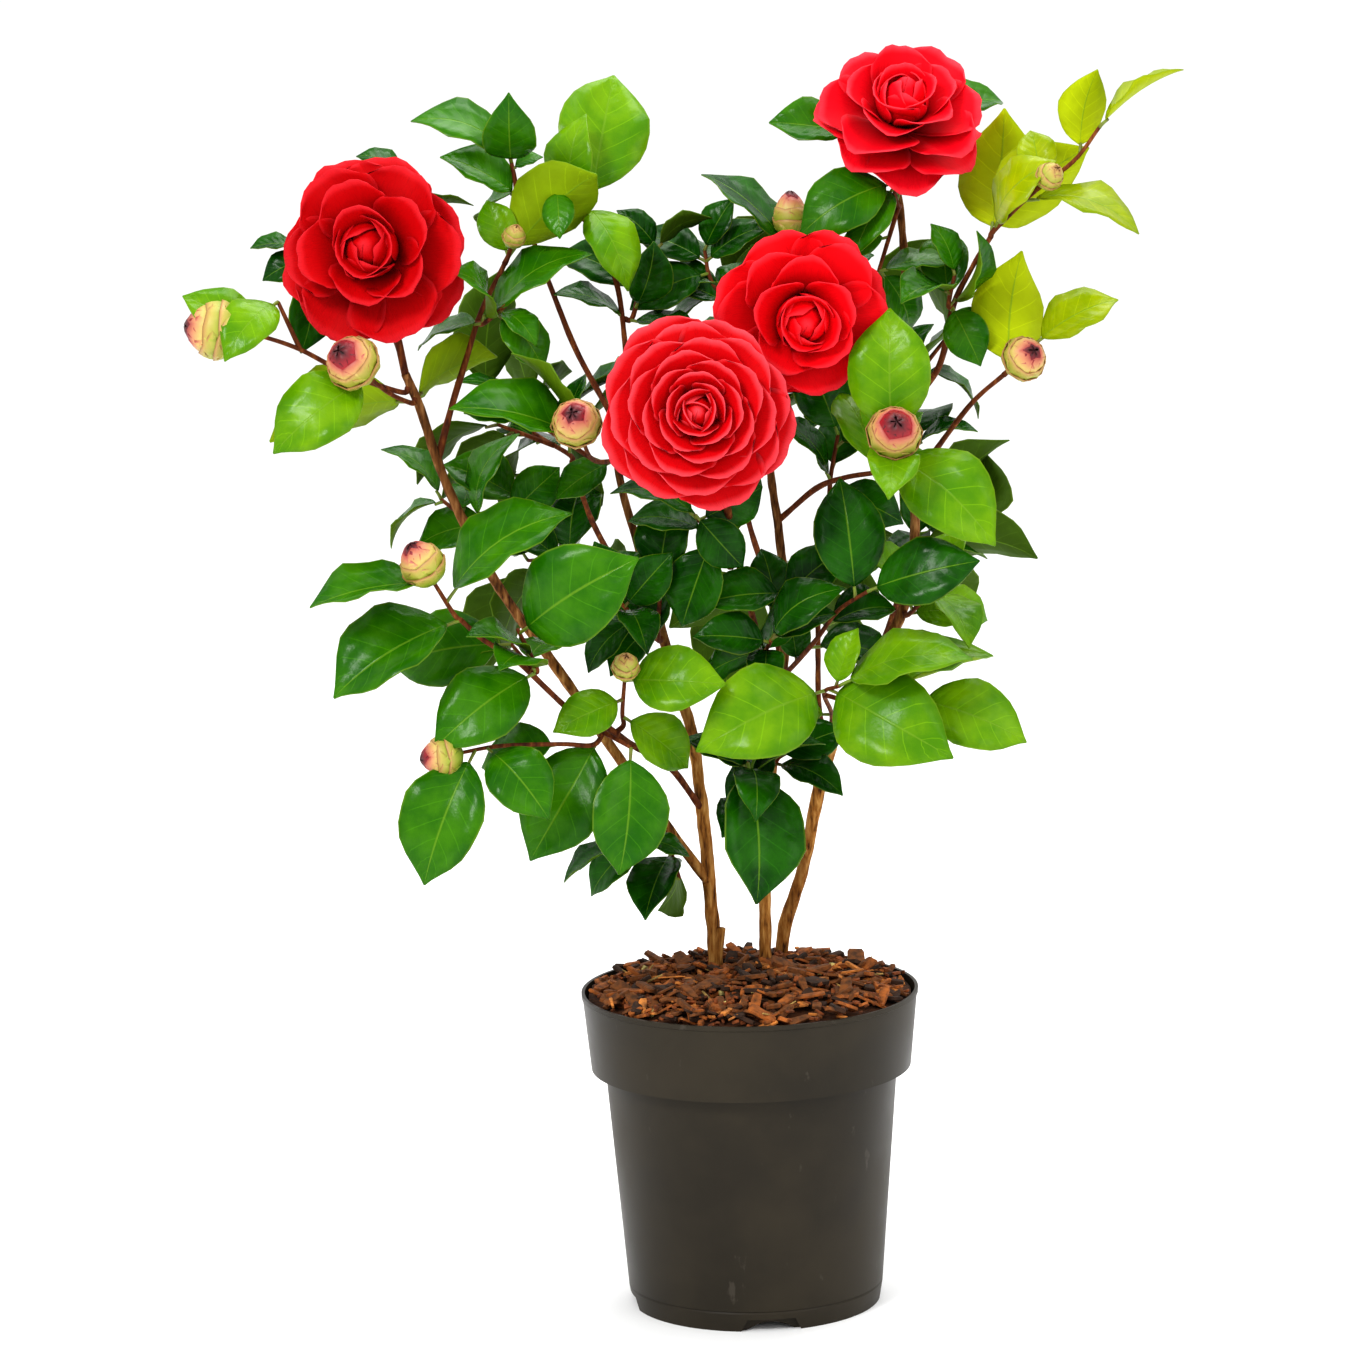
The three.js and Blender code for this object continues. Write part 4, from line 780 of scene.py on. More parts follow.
# A mass on the far side: its limb and the place on it, the way it grows, its reach and its count of leaves.
backMasses = {
    "back_left_low": ("bough_back_left", 1.5, (-0.55, 0.5, -0.1), 58, 7),
    "back_left_top": ("bough_back_left", 3, (-0.7, 0.5, 0.5), 62, 7),
    "back_middle_low": ("bough_back_middle", 1.2, (0.3, 0.85, -0.15), 56, 7),
    "back_middle_top": ("bough_back_middle", 3, (0, 0.35, 1), 84, 8),
    "back_right_low": ("bough_back_right", 1.3, (0.15, 0.9, 0.2), 54, 7),
    "back_right_top": ("bough_back_right", 3, (-0.1, 0.4, 0.92), 78, 8),
}
backShape = {"first": 0.45, "sides": ((1, 0.5), (-1, 0.7)), "spread": (0.8, 1.1), "sideLong": 0.5,
             "apart": (0.26, 0.31), "length": (50, 68), "forward": 0.55}
leafShape = {
    "widthPerLength": 0.62, "fold": 0.24, "arch": 0.55, "nudge": 11, "petiole": 0.1, "thick": 0.45,
    "tipCurl": 0.05, "ripple": 0.03, "clear": 0.16, "sway": 0.16, "twist": 0.5, "grid": (12, 4),
    "outline": [(0, 0.05), (0.05, 0.33), (0.12, 0.6), (0.24, 0.86), (0.37, 0.985), (0.49, 1), (0.62, 0.94),
                (0.74, 0.77), (0.83, 0.54), (0.9, 0.31), (0.95, 0.15), (1, 0.02)],
}
leafSpread = {"clock": 6, "lean": 8, "length": (0.97, 1.03), "broad": (0.94, 1.08), "arch": (0.6, 1.4)}
fillers = {
    "apart": 17, "length": (28, 50), "broad": (0.85, 1.05), "arch": (0.8, 1.7), "start": 0.25, "run": 0.72,
    "forward": (0.3, 0.9), "droop": 0.35,
    "in": ("middle", "heart", "top_centre", "top_middle", "side", "back", "crown"),
}
leafRoll = {"front": 24, "inner": 60}
twigShape = {"root": 1.5, "tip": 0.95, "heel": 5, "heelShare": 0.4, "sunk": 0.6, "sideShare": 0.85, "sides": 8,
             "step": 3}


def heading(clock, lean):
    c, l = math.radians(clock), math.radians(lean)
    return Vector((math.cos(c) * math.cos(l), -math.sin(l), math.sin(c) * math.cos(l)))


def newLeaf(root, way, wish, length, broad, arch):
    return {"root": root, "way": way, "face": squareTo(way, wish), "length": length, "broad": broad,
            "arch": leafShape["arch"] * arch}


def leafAt(root, clock, length, lean, face, turn, draw):
    way = heading(clock + leafSpread["clock"] * (draw() - 0.5), lean + leafSpread["lean"] * (draw() - 0.5))
    f, t = math.radians(face), math.radians(turn)
    wish = Vector((math.sin(t) * math.cos(f), -math.cos(t) * math.cos(f), math.sin(f)))
    spread = [between(leafSpread[key], draw()) for key in ("length", "broad", "arch")]
    return newLeaf(root, way, wish, length * spread[0], *spread[1:])


# Where a stem leaves its limb: just clear of the limb's tip, or square off its side, then onwards.
def stemFoot(on, towards):
    limb, path = limbs[on[0]], limbPath(on[0])
    u = min(1, on[1] / (len(path) - 1))
    point, along = curvePoint(path, u), curveWay(path, u)
    out = along if u == 1 else squareTo(along, towards - point)
    foot = point if u == 1 else point + out * limbRadius(limb, u) * twigShape["sunk"]
    heel = min(twigShape["heel"], twigShape["heelShare"] * (towards - foot).length)
    return [foot, foot + out * heel]


def turnedAbout(leaf, axis, degrees):
    turn = Matrix.Rotation(math.radians(degrees), 3, axis)
    return {**leaf, "way": turn @ leaf["way"], "face": turn @ leaf["face"]}


def spokeAt(axis, around):
    return Matrix.Rotation(around, 3, axis) @ squareTo(axis, Vector((0.2, -0.3, 1)))


# Small leaves between the others, set round each twig at the golden angle.
def smallLeaves(name, grown):
    draw = seeded(name + "Small")
    more = []
    for k, twig in enumerate(grown["twigs"]):
        path = twig["path"]
        count = max(2, round(curveLength(path) / fillers["apart"]))
        for i in range(count):
            s = fillers["start"] + fillers["run"] * (i + draw()) / count
            axis = curveWay(path, s)
            out = spokeAt(axis, (k * 3 + i) * goldenAngle + draw())
            way = axis * between(fillers["forward"], draw()) + out
            way = (way + Vector((0, 0, -fillers["droop"] * draw()))).normalized()
            wish = axis * 0.4 + Vector((draw() - 0.5, -0.45, 0.9))
            spread = [between(fillers[key], draw()) for key in ("length", "broad", "arch")]
            more.append(newLeaf(curvePoint(path, s), way, wish, *spread))
    return more


def laidOutMass(name, mass):
    draw = seeded(name)
    grown = {"twigs": [], "leaves": [], "buds": []}
    for twig in mass["twigs"]:
        path = [Vector(p) for p in twig["path"]]
        if "of" in twig:
            path.insert(0, curvePoint(grown["twigs"][twig["of"]]["path"], twig["at"]))
        else:
            path = stemFoot(mass["on"], path[0]) + path
        share = twigShape["sideShare"] if "of" in twig else 1
        grown["twigs"].append({"path": path, "root": twigShape["root"] * share})
        for place, clock, length, lean, face, *turn in twig.get("leaves", []):
            turn = turn[0] if turn else 0
            grown["leaves"].append(leafAt(curvePoint(path, place), clock, length, lean, face, turn, draw))
        if "bud" in twig:
            way, (radius, length) = curveWay(path, 1), twig["bud"]
            grown["buds"].append({"base": path[-1] - way, "way": way, "radius": radius, "length": length})
    return grown


# A mass on the far side: a main twig, two side twigs and leaves set round them at the golden angle.
def wildMass(name, row):
    limbName, place, way, reach, leafCount = row
    draw = seeded(name)
    main = Vector(way).normalized()
    across = squareTo(main, Vector((0, 0, 1))).cross(main)
    path = limbPath(limbName)
    limb = curvePoint(path, place / (len(path) - 1))
    first = limb + main * backShape["first"] * reach
    spine = stemFoot((limbName, place), first) + [first, limb + main * reach]
    twigs = [spine]
    for sign, s in backShape["sides"]:
        start = curvePoint(spine, s)
        out = (main + across * sign * between(backShape["spread"], draw())).normalized()
        twigs.append([start, start + out * backShape["sideLong"] * reach])
    leaves = []
    for i in range(leafCount):
        twig = twigs[i % 3]
        s = 1 - (i // 3) * between(backShape["apart"], draw())
        axis = curveWay(twig, s)
        way = (axis * backShape["forward"] + spokeAt(axis, i * goldenAngle + draw())).normalized()
        wish = axis * 0.5 + Vector((0, 0.35, 0.8))
        spans = (backShape["length"], leafSpread["broad"], leafSpread["arch"])
        spread = [between(span, draw()) for span in spans]
        leaves.append(newLeaf(curvePoint(twig, s), way, wish, *spread))
    twigs = [{"path": path, "root": twigShape["root"]} for path in twigs]
    return {"twigs": twigs, "leaves": leaves, "buds": []}


# A plain wedge in the leaf's place, past its petiole, for the test against its neighbours.
def coarseBlade(leaf):
    side = leaf["way"].cross(leaf["face"])
    half = leaf["length"] * leafShape["widthPerLength"] * leaf["broad"] / 2
    points = []
    for s, share in ((leafShape["clear"], 0.45), (0.4, 0.96), (0.7, 0.84), (0.98, 0.1)):
        bow = leaf["arch"] * (0.25 - (s - 0.5) ** 2) * leaf["length"]
        centre = leaf["root"] + leaf["way"] * s * leaf["length"] + leaf["face"] * bow
        rise = leaf["face"] * half * share * leafShape["fold"]
        reach = side * half * share
        points += [centre - reach + rise, centre + reach + rise, centre - leaf["face"] * 0.6]
    faces = [(0, 1, 2), (9, 10, 11)]
    for i in (0, 3, 6):
        faces += [(i, i + 1, i + 4, i + 3), (i + 1, i + 2, i + 5, i + 4), (i + 2, i, i + 3, i + 5)]
    return points, faces


def obstacle(points, faces):
    corners = np.array([tuple(p) for p in points])
    tree = BVHTree.FromPolygons([tuple(p) for p in points], faces)
    return {"tree": tree, "low": corners.min(0), "high": corners.max(0)}


def bmeshObstacle(bm):
    bm.verts.ensure_lookup_table()
    made = obstacle([v.co.copy() for v in bm.verts], [[v.index for v in f.verts] for f in bm.faces])
    bm.free()
    return made


def crosses(one, other):
    if (one["low"] > other["high"]).any() or (other["low"] > one["high"]).any():
        return False
    return bool(one["tree"].overlap(other["tree"]))


# Each leaf is raised or lowered until it is clear of all that stands; one that never is stays out.
def clearLeaves(masses, standing):
    kept = {}
    for name, mass in masses.items():
        kept[name] = []
        for leaf in mass["leaves"]:
            hinge = leaf["way"].cross(leaf["face"]).normalized()
            for n in (0, 1, -1, 2, -2, 3, -3):
                tried = turnedAbout(leaf, hinge, n * leafShape["nudge"])
                blade = obstacle(*coarseBlade(tried))
                if not any(crosses(blade, other) for other in standing):
                    kept[name].append(tried)
                    standing.append(blade)
                    break
    return kept


leafTones = {
    "Deep": {"top": (8, 55, 1), "young": (34, 92, 3), "under": (60, 86, 14)},
    "Mid": {"top": (30, 88, 1), "young": (60, 116, 4), "under": (80, 106, 10)},
    "Bright": {"top": (72, 123, 2), "young": (108, 150, 6), "under": (116, 140, 8)},
    "Lime": {"top": (120, 143, 2), "young": (150, 164, 4), "under": (150, 164, 4)},
}
tonedMasses = {
    "Lime": ("east_top", "east_bud"),
    "Bright": ("fork_tip", "top_middle", "right_heart", "west_bud", "west_low", "young_up", "right_low",
               "right_side"),
    "Mid": ("young_tip", "young_middle", "young_low", "centre_left", "top_left", "east_middle", "right_crown",
            "bloom_collar", "bough_side", "fork_side"),
}
toneOf = {name: tone for tone, names in tonedMasses.items() for name in names}  # the rest are deep
leafLook = {
    "top": {"roughness": 0.24, "specular": 0.14, "rib": -0.9},
    "under": {"roughness": 0.6, "specular": 0.08, "rib": 0.9},
    "veins": 8.5, "veinSlant": 3.2, "blotchScale": 48, "grainScale": 520,
    "ribColour": (108, 146, 34), "edgeColour": (128, 150, 40),
}
stalkShape = {"sides": 6, "step": 2.5, "sunk": 0.9, "tones": [(0.35, (96, 84, 30)), (0.6, (112, 134, 34))]}


def leafPoints(leaf, patch, draw):
    s, t = patch["s"] - 0.07 * np.sin(math.tau * patch["s"]), patch["t"]
    length, petiole = leaf["length"], leafShape["petiole"]
    along = petiole + (1 - petiole) * s
    places, widths = zip(*leafShape["outline"])
    half = np.interp(s, places, widths) * length * leafShape["widthPerLength"] * leaf["broad"] / 2
    fold = leafShape["fold"] * (0.5 + 1.6 * draw() ** 2)
    lift = fold * half * np.abs(t) ** 1.3 - fold * half * 0.3
    lift += leaf["arch"] * (0.25 - (along - 0.5) ** 2) * length
    lift -= leafShape["tipCurl"] * length * s ** 5 * draw()
    wave = np.sin(math.tau * (2.2 * s + draw()) + 1.3 * t) * np.abs(t) ** 2 * np.sin(math.pi * s)
    lift += leafShape["ripple"] * length * wave
    sway = (draw() - 0.5) * leafShape["sway"] * length * (s - s ** 2)
    twist = (draw() - 0.5) * leafShape["twist"] * (along - 0.3)
    across = t * half * np.cos(twist) + sway
    lift = lift + t * half * np.sin(twist)
    way, face = np.array(leaf["way"]), np.array(leaf["face"])
    side = np.cross(face, way)
    spine = np.array(leaf["root"]) + np.outer(along * length, way)
    return spine + np.outer(across, side) + np.outer(lift, face)


def leafMaterial(name, base, young, look):
    made = newMaterial(name, base, look["roughness"], look["specular"])
    u, v = coordinates(made, "UV")[:2]
    off = maths(made, "ABSOLUTE", maths(made, "SUBTRACT", v, 0.5))  # 0 on the midrib, 0.5 at the margin
    slant = times(made, off, leafLook["veinSlant"])
    veins = maths(made, "PINGPONG", maths(made, "SUBTRACT", times(made, u, leafLook["veins"]), slant), 0.5)
    veinLine = times(made, ranged(made, veins, 0.0, 0.045, 1, 0), ranged(made, off, 0.3, 0.47, 1, 0))
    rib = ranged(made, off, 0.005, 0.02, 1, 0)
    edge = ranged(made, off, 0.475, 0.495)
    veinColour = tuple(min(255, c * 1.2 + 16) for c in young)
    paint = blended(made, ranged(made, clouds(made, leafLook["blotchScale"], 5), 0.3, 0.72), base, young)
    paint = blended(made, times(made, veinLine, 0.3), paint, veinColour)
    paint = blended(made, times(made, rib, 0.55), paint, leafLook["ribColour"])
    shade(made, "Base Color", blended(made, times(made, edge, 0.35), paint, leafLook["edgeColour"]))
    quilt = maths(made, "ADD", times(made, ranged(made, veins, 0.0, 0.5), 0.8), times(made, rib, look["rib"]))
    grain = times(made, clouds(made, leafLook["grainScale"], 5), 0.8)
    bumped(made, maths(made, "ADD", quilt, grain), 0.36, 0.4)
    return made


def makeLeaves(kept):
    patch = makePatch(*leafShape["grid"])
    stalked = []
    for tone, paint in leafTones.items():
        title = "leaves" + tone
        names = [n for n in kept if toneOf.get(n, "Deep") == tone]
        copies = []
        for name in names:
            draw = seeded(name + "Leaves")
            copies += [leafPoints(leaf, patch, draw) for leaf in kept[name]]
            stalked += kept[name]
        top = leafMaterial("leafTop" + tone, paint["top"], paint["young"], leafLook["top"])
        pale = tuple(c * 1.12 for c in paint["under"])
        under = leafMaterial("leafUnder" + tone, paint["under"], pale, leafLook["under"])
        copiedPiece(title, patch, copies, [top, under], "foliage", names, leafShape["thick"], 1)
        print("leaves", tone, len(copies))
    return stalked


def bloomStem(u):
    return 1.9 + 0.8 * u ** 2  # wider towards the bloom


def makeTwigs(masses, leaves, youngBark):
    tubes = []
    for mass in masses.values():
        for twig in mass["twigs"]:
            span = (twig["root"], twigShape["tip"])
            tube = growTube(twig["path"], lambda u: between(span, u), twigShape["sides"], twigShape["step"])
            tubes.append(tube)
    tubes += [growTube(bloomPath(bloom), bloomStem, 10, twigShape["step"]) for bloom in blooms.values()]
    newPiece("twigs", joinedTubes("twigs", tubes), [youngBark], "young_bark", list(masses))

    stalks = []
    for leaf in leaves:
        far = leaf["way"] * leafShape["petiole"] * leaf["length"]
        bow = leaf["arch"] * (0.25 - (leafShape["petiole"] - 0.5) ** 2) * leaf["length"]
        middle = leaf["root"] + far * 0.5 + leaf["face"] * bow * 0.35
        tip = leaf["root"] + far * 1.25 + leaf["face"] * (bow - stalkShape["sunk"])
        stalks.append(growTube([leaf["root"], middle, tip], lambda u: 1.0 - 0.25 * u,
                               stalkShape["sides"], stalkShape["step"]))
    petiole = newMaterial("petiole", (100, 120, 30), 0.5)
    shade(petiole, "Base Color", ramped(petiole, clouds(petiole, 90, 3), stalkShape["tones"]))
    newPiece("petioles", joinedTubes("petioles", stalks), [petiole], "foliage", list(masses))
    print("twigs:", len(tubes), "and", len(stalks), "petioles")


# A row of scales is their count, and where along the bud they begin and end.
budShape = {
    "scaleRows": [(4, 0.0, 0.46), (4, 0.12, 0.7), (5, 0.3, 0.88), (5, 0.46, 1.0)], "topRow": 2, "closing": 0.12,
    "uneven": 0.09, "loose": 0.4, "lift": 0.05, "thick": 0.5, "longer": 1.04, "core": 0.9, "grid": (6, 4),
    "corner": 0.2, "wide": 2.1, "swell": 1.06, "swellStep": 0.05,
}
showingPetals = {"west_bud": 0.3, "west_low": 0.75, "right_heart": 0.8, "east_bud": 0.2, "centre_left": 0.3,
                 "young_tip": 0.1, "young_low": 0.3, "north_bud": 0.3, "right_low": 0.4}
budPieces = {
    "budScales": {"slot": "foliage", "material": "budScale", "colour": (120, 128, 44), "rough": True, "tones": [
        (0, (104, 132, 28)), (0.55, (150, 162, 50)), (0.84, (176, 160, 76)), (0.95, (178, 140, 80)),
        (1, (150, 108, 60))]},
    "budTips": {"slot": "foliage", "material": "budBlush", "colour": (190, 120, 90), "rough": True, "tones": [
        (0, (112, 136, 30)), (0.42, (166, 168, 60)), (0.64, (200, 174, 100)), (0.84, (194, 128, 92)),
        (1, (164, 70, 64))]},
    "budPetals": {"slot": "petals", "material": "budPetal", "colour": (128, 18, 32), "rough": False, "tones": [
        (0, (190, 70, 60)), (0.55, (176, 30, 40)), (0.8, (132, 12, 28)), (1, (64, 5, 14))]},
}


def budRadius(s):
    return np.sin(np.pi * np.clip(s, 0, 1) ** 0.85) ** 0.62


def frameOf(way):
    across = squareTo(way, Vector((0.31, 0.52, 0.79)))
    return np.array(across), np.array(way.cross(across)), np.array(way)


def scalePoints(bud, row, turn, patch, swell):
    count, low, high = row
    s, t = patch["s"], patch["t"]
    place = low + (high - low) * s * (1 - budShape["corner"] * t ** 2 * s)  # drawn back for a round rim
    wide = budShape["wide"] * math.pi / count * (0.75 + 0.25 * np.sin(math.pi * s))
    around = turn + t * wide
    radius = bud["radius"] * (budRadius(place) * swell + 0.03) * (1 + budShape["lift"] * s * (1 - np.abs(t)))
    across, up, way = frameOf(bud["way"])
    centre = np.array(bud["base"]) + np.outer(place * bud["length"], way)
    return centre + np.outer(radius * np.cos(around), across) + np.outer(radius * np.sin(around), up)


def makeBuds(masses):
    patch = makePatch(*budShape["grid"])
    copies = {name: [] for name in budPieces}
    cores = []
    rows = budShape["scaleRows"]
    for name, bud in ((name, bud) for name, mass in masses.items() for bud in mass["buds"]):
        opened = showingPetals.get(name, 0)
        draw = seeded(name + "Bud")
        bud = {**bud, "length": bud["length"] * budShape["longer"]}
        for k, (count, low, high) in enumerate(rows):
            top = k == budShape["topRow"]
            kind = "budScales"
            if opened and k >= budShape["topRow"]:
                kind = "budTips" if top else "budPetals"
            high += budShape["closing"] * (1 - opened) * top  # the less it shows, the higher they close
            for i in range(count):
                turn = i * math.tau / count + k * goldenAngle + budShape["loose"] * draw()
                row = (count, low, high - budShape["uneven"] * draw() * top)
                swell = budShape["swell"] - budShape["swellStep"] * k
                copies[kind].append(scalePoints(bud, row, turn, patch, swell))
        core = [bud["base"], bud["base"] + bud["way"] * bud["length"] * 0.97]
        wide = bud["radius"] * budShape["core"]
        cores.append(growTube(core, lambda u: 0.1 + wide * float(budRadius(np.array(u))), 12, 2))
    holders = [n for n, m in masses.items() if m["buds"]]
    for title, look in budPieces.items():
        made = newMaterial(look["material"], look["colour"], 0.5)
        shade(made, "Base Color", ramped(made, coordinates(made, "UV")[0], look["tones"]))
        if look["rough"]:
            bumped(made, clouds(made, 300, 3), 0.2, 0.3)
        copiedPiece(title, patch, copies[title], [made], look["slot"], holders, budShape["thick"])
    heartRed = newMaterial("budHeart", (58, 5, 14), 0.6)
    newPiece("budCores", joinedTubes("budCores", cores), [heartRed], "petals", holders)
    print("buds:", len(cores))


blooms = {
    "bloom_west": {"on": ("bough_left", 8), "path": [(-166, -30, 500), (-172, -26, 524), (-174, -36, 539)],
                   "facing": (-0.1, -0.95, 0.2), "size": 92, "formal": False},
    "bloom_front": {"on": ("stem_front", 3), "path": [(-8, -45, 420), (-16, -70, 448), (-20, -84, 463)],
                    "facing": (0, -0.97, 0.16), "size": 102, "formal": True},
    "bloom_centre": {"on": ("stem_middle", 8), "path": [(20, -14, 472), (28, -26, 494), (31, -40, 505)],
                     "facing": (0.08, -0.97, -0.05), "size": 82, "formal": False},
    "bloom_east": {"on": ("stem_right", 12), "path": [(81, 12, 580), (82, 4, 592)],
                   "facing": (0.12, -0.68, 0.72), "size": 82, "formal": False},
}

# Petals by layer: how many, their tilt from the flower's axis at the foot and how far they open along their
# length, in degrees, the ruffle as a share of the petal, and the rest as shares of the bloom.
layerColumns = ("count", "tilt", "open", "long", "wide", "cup", "ruffle", "foot", "rise")
doubleLayers = [dict(zip(layerColumns, row)) for row in (
    (7, 84, 16, 0.5, 0.52, 0.72, 0.055, 0.03, 0),
    (6, 66, 14, 0.5, 0.5, 0.42, 0.045, 0.03, 0.02),
    (5, 42, 18, 0.43, 0.46, 0.25, 0.03, 0.03, 0.04),
    (3, 24, 6, 0.38, 0.44, 0.18, 0.015, 0.02, 0.06),
)]
sepalRow = dict(zip(layerColumns, (6, 100, -25, 0.13, 0.14, 0.1, 0, 0.01, -0.035)))
layerSpread = {"size": (0.91, 1.07), "turn": 0.5, "tilt": 16, "step": 0.9}
heart = {"count": 7, "radius": 0.112, "low": 0.06, "high": 0.43, "wrap": 1.15, "lift": 0.045, "shorter": 0.012,
         "looser": 0.06}
formalCount, formalBend, formalHeart = 38, 0.66, 0.74
formalBloom = {"tilt": (8, 84), "open": (-6, 24), "long": (0.16, 0.44), "wide": (0.15, 0.48), "cup": (0.1, 0.5),
               "ruffle": (0.0, 0.03), "foot": (0.0, 0.06), "rise": (0.17, 0.0)}  # from the middle to the rim
petalShape = {
    "outline": [(0, 0.24), (0.2, 0.52), (0.4, 0.8), (0.6, 0.97), (0.75, 1), (0.9, 0.94), (1, 0.84)],
    "grid": (10, 8), "thick": 0.5, "corner": 0.26, "notch": 0.05, "curl": 1.6, "rake": 4,
    "waves": 3.4, "wave": 1.6,
}
sepalLook = {"base": (120, 130, 66), "tones": [(0.3, (98, 104, 56)), (0.7, (146, 150, 84))], "thick": 0.6}
# Petal colours: the dark foot is painted shade deep in the cup, reaching the given share along the petal; the
# paler rim is partly the petal's own lighter edge and partly painted light.
bloomLooks = {
    "bloom_west": {"foot": (96, 0, 2), "middle": (186, 0, 8), "rim": (204, 34, 44), "shadedFootEnd": 0.15},
    "bloom_front": {"foot": (122, 0, 4), "middle": (202, 2, 14), "rim": (226, 74, 84), "shadedFootEnd": 0.5},
    "bloom_centre": {"foot": (134, 0, 6), "middle": (222, 4, 20), "rim": (230, 46, 58), "shadedFootEnd": 0.15},
    "bloom_east": {"foot": (128, 0, 8), "middle": (224, 8, 32), "rim": (232, 58, 72), "shadedFootEnd": 0.15},
}


def bloomPath(bloom):
    path = limbPath(bloom["on"][0])
    start = curvePoint(path, bloom["on"][1] / (len(path) - 1))
    return [start] + [Vector(p) for p in bloom["path"]]


def petalPoints(bloom, petal, patch, draw):
    s, t = patch["s"], patch["t"]
    size = bloom["size"]
    length, wide = petal["long"] * size, petal["wide"] * size / 2
    fine = np.linspace(0, 1, 33)
    lean = np.radians(petal["tilt"] + petal["open"] * fine ** petalShape["curl"])
    step = length / (len(fine) - 1)
    outwards = np.concatenate([[0], np.cumsum(np.sin(lean[:-1])) * step]) + petal["foot"] * size
    upwards = np.concatenate([[0], np.cumsum(np.cos(lean[:-1])) * step]) + petal["rise"] * size
    places, widths = zip(*petalShape["outline"])
    half = np.interp(s, places, widths) * wide
    s = s * (1 - petalShape["corner"] * s ** 2 * t ** 2)  # the corners drawn back, for a round rim
    s = s * (1 - petalShape["notch"] * (1 - np.abs(t)) ** 3 * s ** 6)  # and a shallow notch
    radius = petal["cup"] * size
    bend = t * half / radius
    across = radius * np.sin(bend)
    inward = radius * (1 - np.cos(bend))
    phase = draw() * math.tau
    ruffle = petal["ruffle"] * length
    inward = inward + (draw() - 0.5) * ruffle * petalShape["rake"] * t * s
    inward = inward + ruffle * petalShape["wave"] * np.sin(petalShape["waves"] * t + phase + 2 * s) * s ** 3
    angle = np.interp(s, fine, lean)
    out = np.interp(s, fine, outwards) - inward * np.cos(angle)
    up = np.interp(s, fine, upwards) + inward * np.sin(angle)
    first, second, ahead = frameOf(Vector(bloom["facing"]).normalized())
    turn = petal["turn"]
    outDir = first * math.cos(turn) + second * math.sin(turn)
    sideDir = -first * math.sin(turn) + second * math.cos(turn)
    return np.array(bloom["path"][-1]) + np.outer(out, outDir) + np.outer(across, sideDir) + np.outer(up, ahead)


# The folded heart: petals wrapped round an egg shape, each with one side lifted over the last.
def heartPoints(bloom, k, patch):
    s, t = patch["s"], patch["t"]
    top = heart["high"] - k * heart["shorter"]
    place = s * (1 - 0.2 * s ** 2 * t ** 2) * (top - heart["low"]) if k else s * (top - heart["low"])
    swell = np.sin(np.pi * np.clip(0.1 + 0.9 * place / (heart["high"] - heart["low"]), 0, 1)) ** 0.85
    lift = heart["lift"] * (t + 1) / 2 * s ** 2 if k else 0
    radius = (heart["radius"] * swell * (1 + heart["looser"] * k) + lift) * bloom["size"]
    around = k * goldenAngle + t * (heart["wrap"] * (0.55 + 0.45 * np.sin(np.pi * s * 0.8)) if k else math.pi)
    across, up, way = frameOf(Vector(bloom["facing"]).normalized())
    centre = np.array(bloom["path"][-1]) + np.outer((heart["low"] + place) * bloom["size"], way)
    return centre + np.outer(radius * np.cos(around), across) + np.outer(radius * np.sin(around), up)


def layeredPetals(draw):
    for k, layer in enumerate(doubleLayers):
        for i in range(layer["count"]):
            vary = {key: layer[key] * between(layerSpread["size"], draw()) for key in ("long", "wide", "cup")}
            turn = k * layerSpread["step"] + i * math.tau / layer["count"]
            turn += (draw() - 0.5) * layerSpread["turn"]
            tilt = layer["tilt"] + (draw() - 0.5) * layerSpread["tilt"]
            yield {**layer, **vary, "tilt": tilt, "turn": turn}


def spiralledPetals(draw):
    for i in range(formalCount):
        share = ((i + 0.5) / formalCount) ** formalBend
        petal = {key: between(span, share) for key, span in formalBloom.items()}
        petal["long"] *= 0.97 + 0.06 * draw()
        yield {**petal, "turn": i * goldenAngle}


def petalMaterial(name, look):
    made = newMaterial(name, look["middle"], 0.6, 0.08)
    u, v = coordinates(made, "UV")[:2]
    off = maths(made, "ABSOLUTE", maths(made, "SUBTRACT", v, 0.5))
    middle, rim = look["middle"], look["rim"]
    # Painted shade at the petal's foot, then its own red, then the paler rim: partly its own colour, partly
    # painted light.
    tone = ramped(made, u, [(look["shadedFootEnd"], look["foot"]), (0.74, middle), (0.87, middle), (1.0, rim)])
    # The side edges also pale towards the rim colour: partly the petal's own edge, partly painted light.
    tone = blended(made, ranged(made, off, 0.44, 0.5, 0, 0.35), tone, rim)
    streaks = clouds(made, 5, 5, (1.5, 26, 1), "UV")
    shade(made, "Base Color", blended(made, ranged(made, streaks, 0.45, 0.75, 0, 0.35), tone, look["foot"]))
    bumped(made, streaks, 0.3, 0.4)
    return made


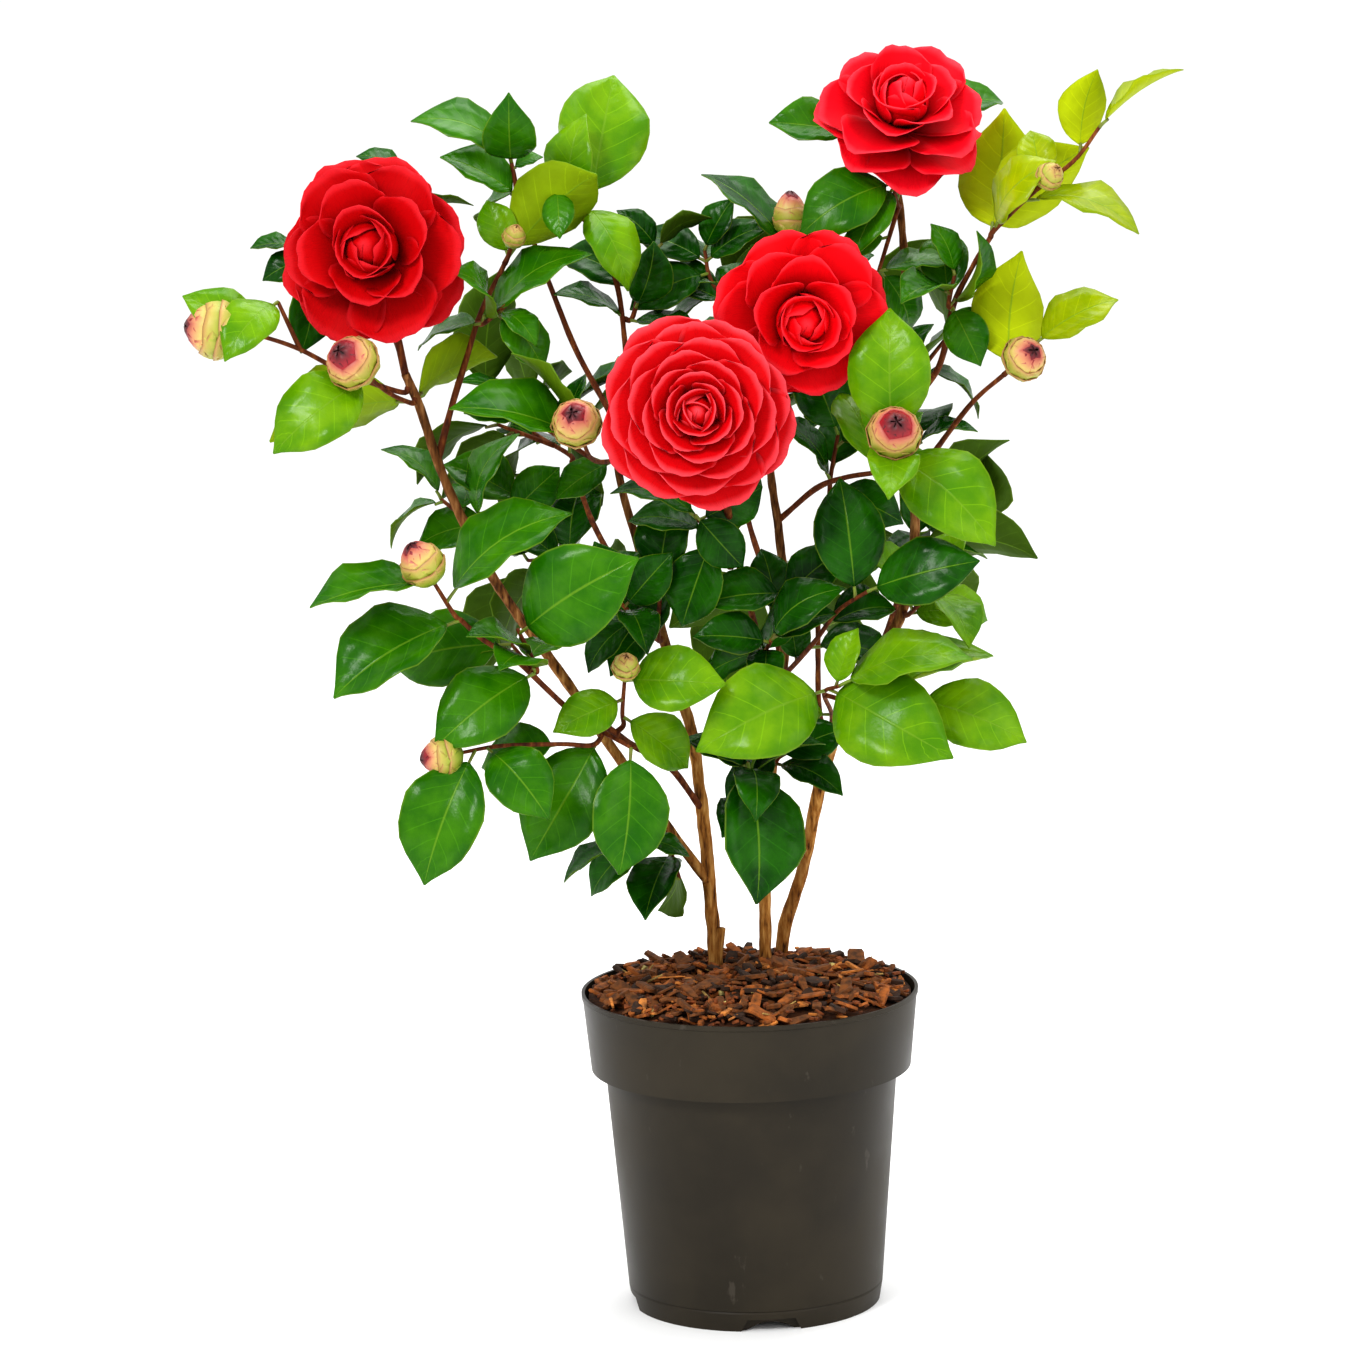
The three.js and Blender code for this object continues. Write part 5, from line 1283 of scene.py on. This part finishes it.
def makeBlooms():
    patch = makePatch(*petalShape["grid"])
    sepals, shapes = [], []
    for name, bloom in blooms.items():
        draw = seeded(name + "Petals")
        grow = spiralledPetals if bloom["formal"] else layeredPetals
        copies = [petalPoints(bloom, petal, patch, draw) for petal in grow(draw)]
        core = {**bloom, "size": bloom["size"] * (formalHeart if bloom["formal"] else 1)}
        copies += [heartPoints(core, k, patch) for k in range(heart["count"])]
        shapes += copies
        title = "bloom" + name.split("_")[1].title()
        made = petalMaterial(title, bloomLooks[name])
        copiedPiece(title, patch, copies, [made], "petals", [name], petalShape["thick"])
        for i in range(sepalRow["count"]):
            sepal = {**sepalRow, "turn": i * math.tau / sepalRow["count"]}
            sepals.append(petalPoints(bloom, sepal, patch, lambda: 0.5))
        print(title, len(copies), "petals")
    made = newMaterial("sepal", sepalLook["base"], 0.6)
    shade(made, "Base Color", ramped(made, clouds(made, 120, 3), sepalLook["tones"]))
    copiedPiece("sepals", patch, sepals, [made], "foliage", list(blooms), sepalLook["thick"])
    return patch["faces"], shapes


def inCrown(name):
    return any(part in name for part in fillers["in"])


makeCamera()
makeLamps()
makeFloor()
makePot()
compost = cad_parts["compost"].data.materials
compost.clear()
compost.append(woodyMaterial("compost", *woodLooks["compost"]))
makeMulchBed()
makeChips([curvePoint(limbPath(n), 0.04) for n in limbs if limbs[n].get("foot")])
youngBark = makeBark()

grownMasses = {name: laidOutMass(name, mass) for name, mass in masses.items()}
grownMasses.update({name: wildMass(name, row) for name, row in backMasses.items()})
petalFaces, petalShapes = makeBlooms()
standing = [obstacle(points, petalFaces) for points in petalShapes]
standing += [bmeshObstacle(growLimb(n, plain=True)) for n in limbs]
for name, mass in grownMasses.items():
    draw = seeded(name + "Roll")
    swing = leafRoll["inner" if inCrown(name) else "front"]
    mass["leaves"] = [turnedAbout(leaf, leaf["way"], (draw() - 0.5) * swing) for leaf in mass["leaves"]]
kept = clearLeaves(grownMasses, standing)
extra = {n: {"leaves": smallLeaves(n, m)} for n, m in grownMasses.items() if inCrown(n)}
for name, leaves in clearLeaves(extra, standing).items():
    kept[name] += leaves
print("leaves kept:", sum(map(len, kept.values())), "of", sum(len(m["leaves"]) for m in grownMasses.values()))
stalked = makeLeaves(kept)
makeTwigs(grownMasses, stalked, youngBark)
makeBuds(grownMasses)
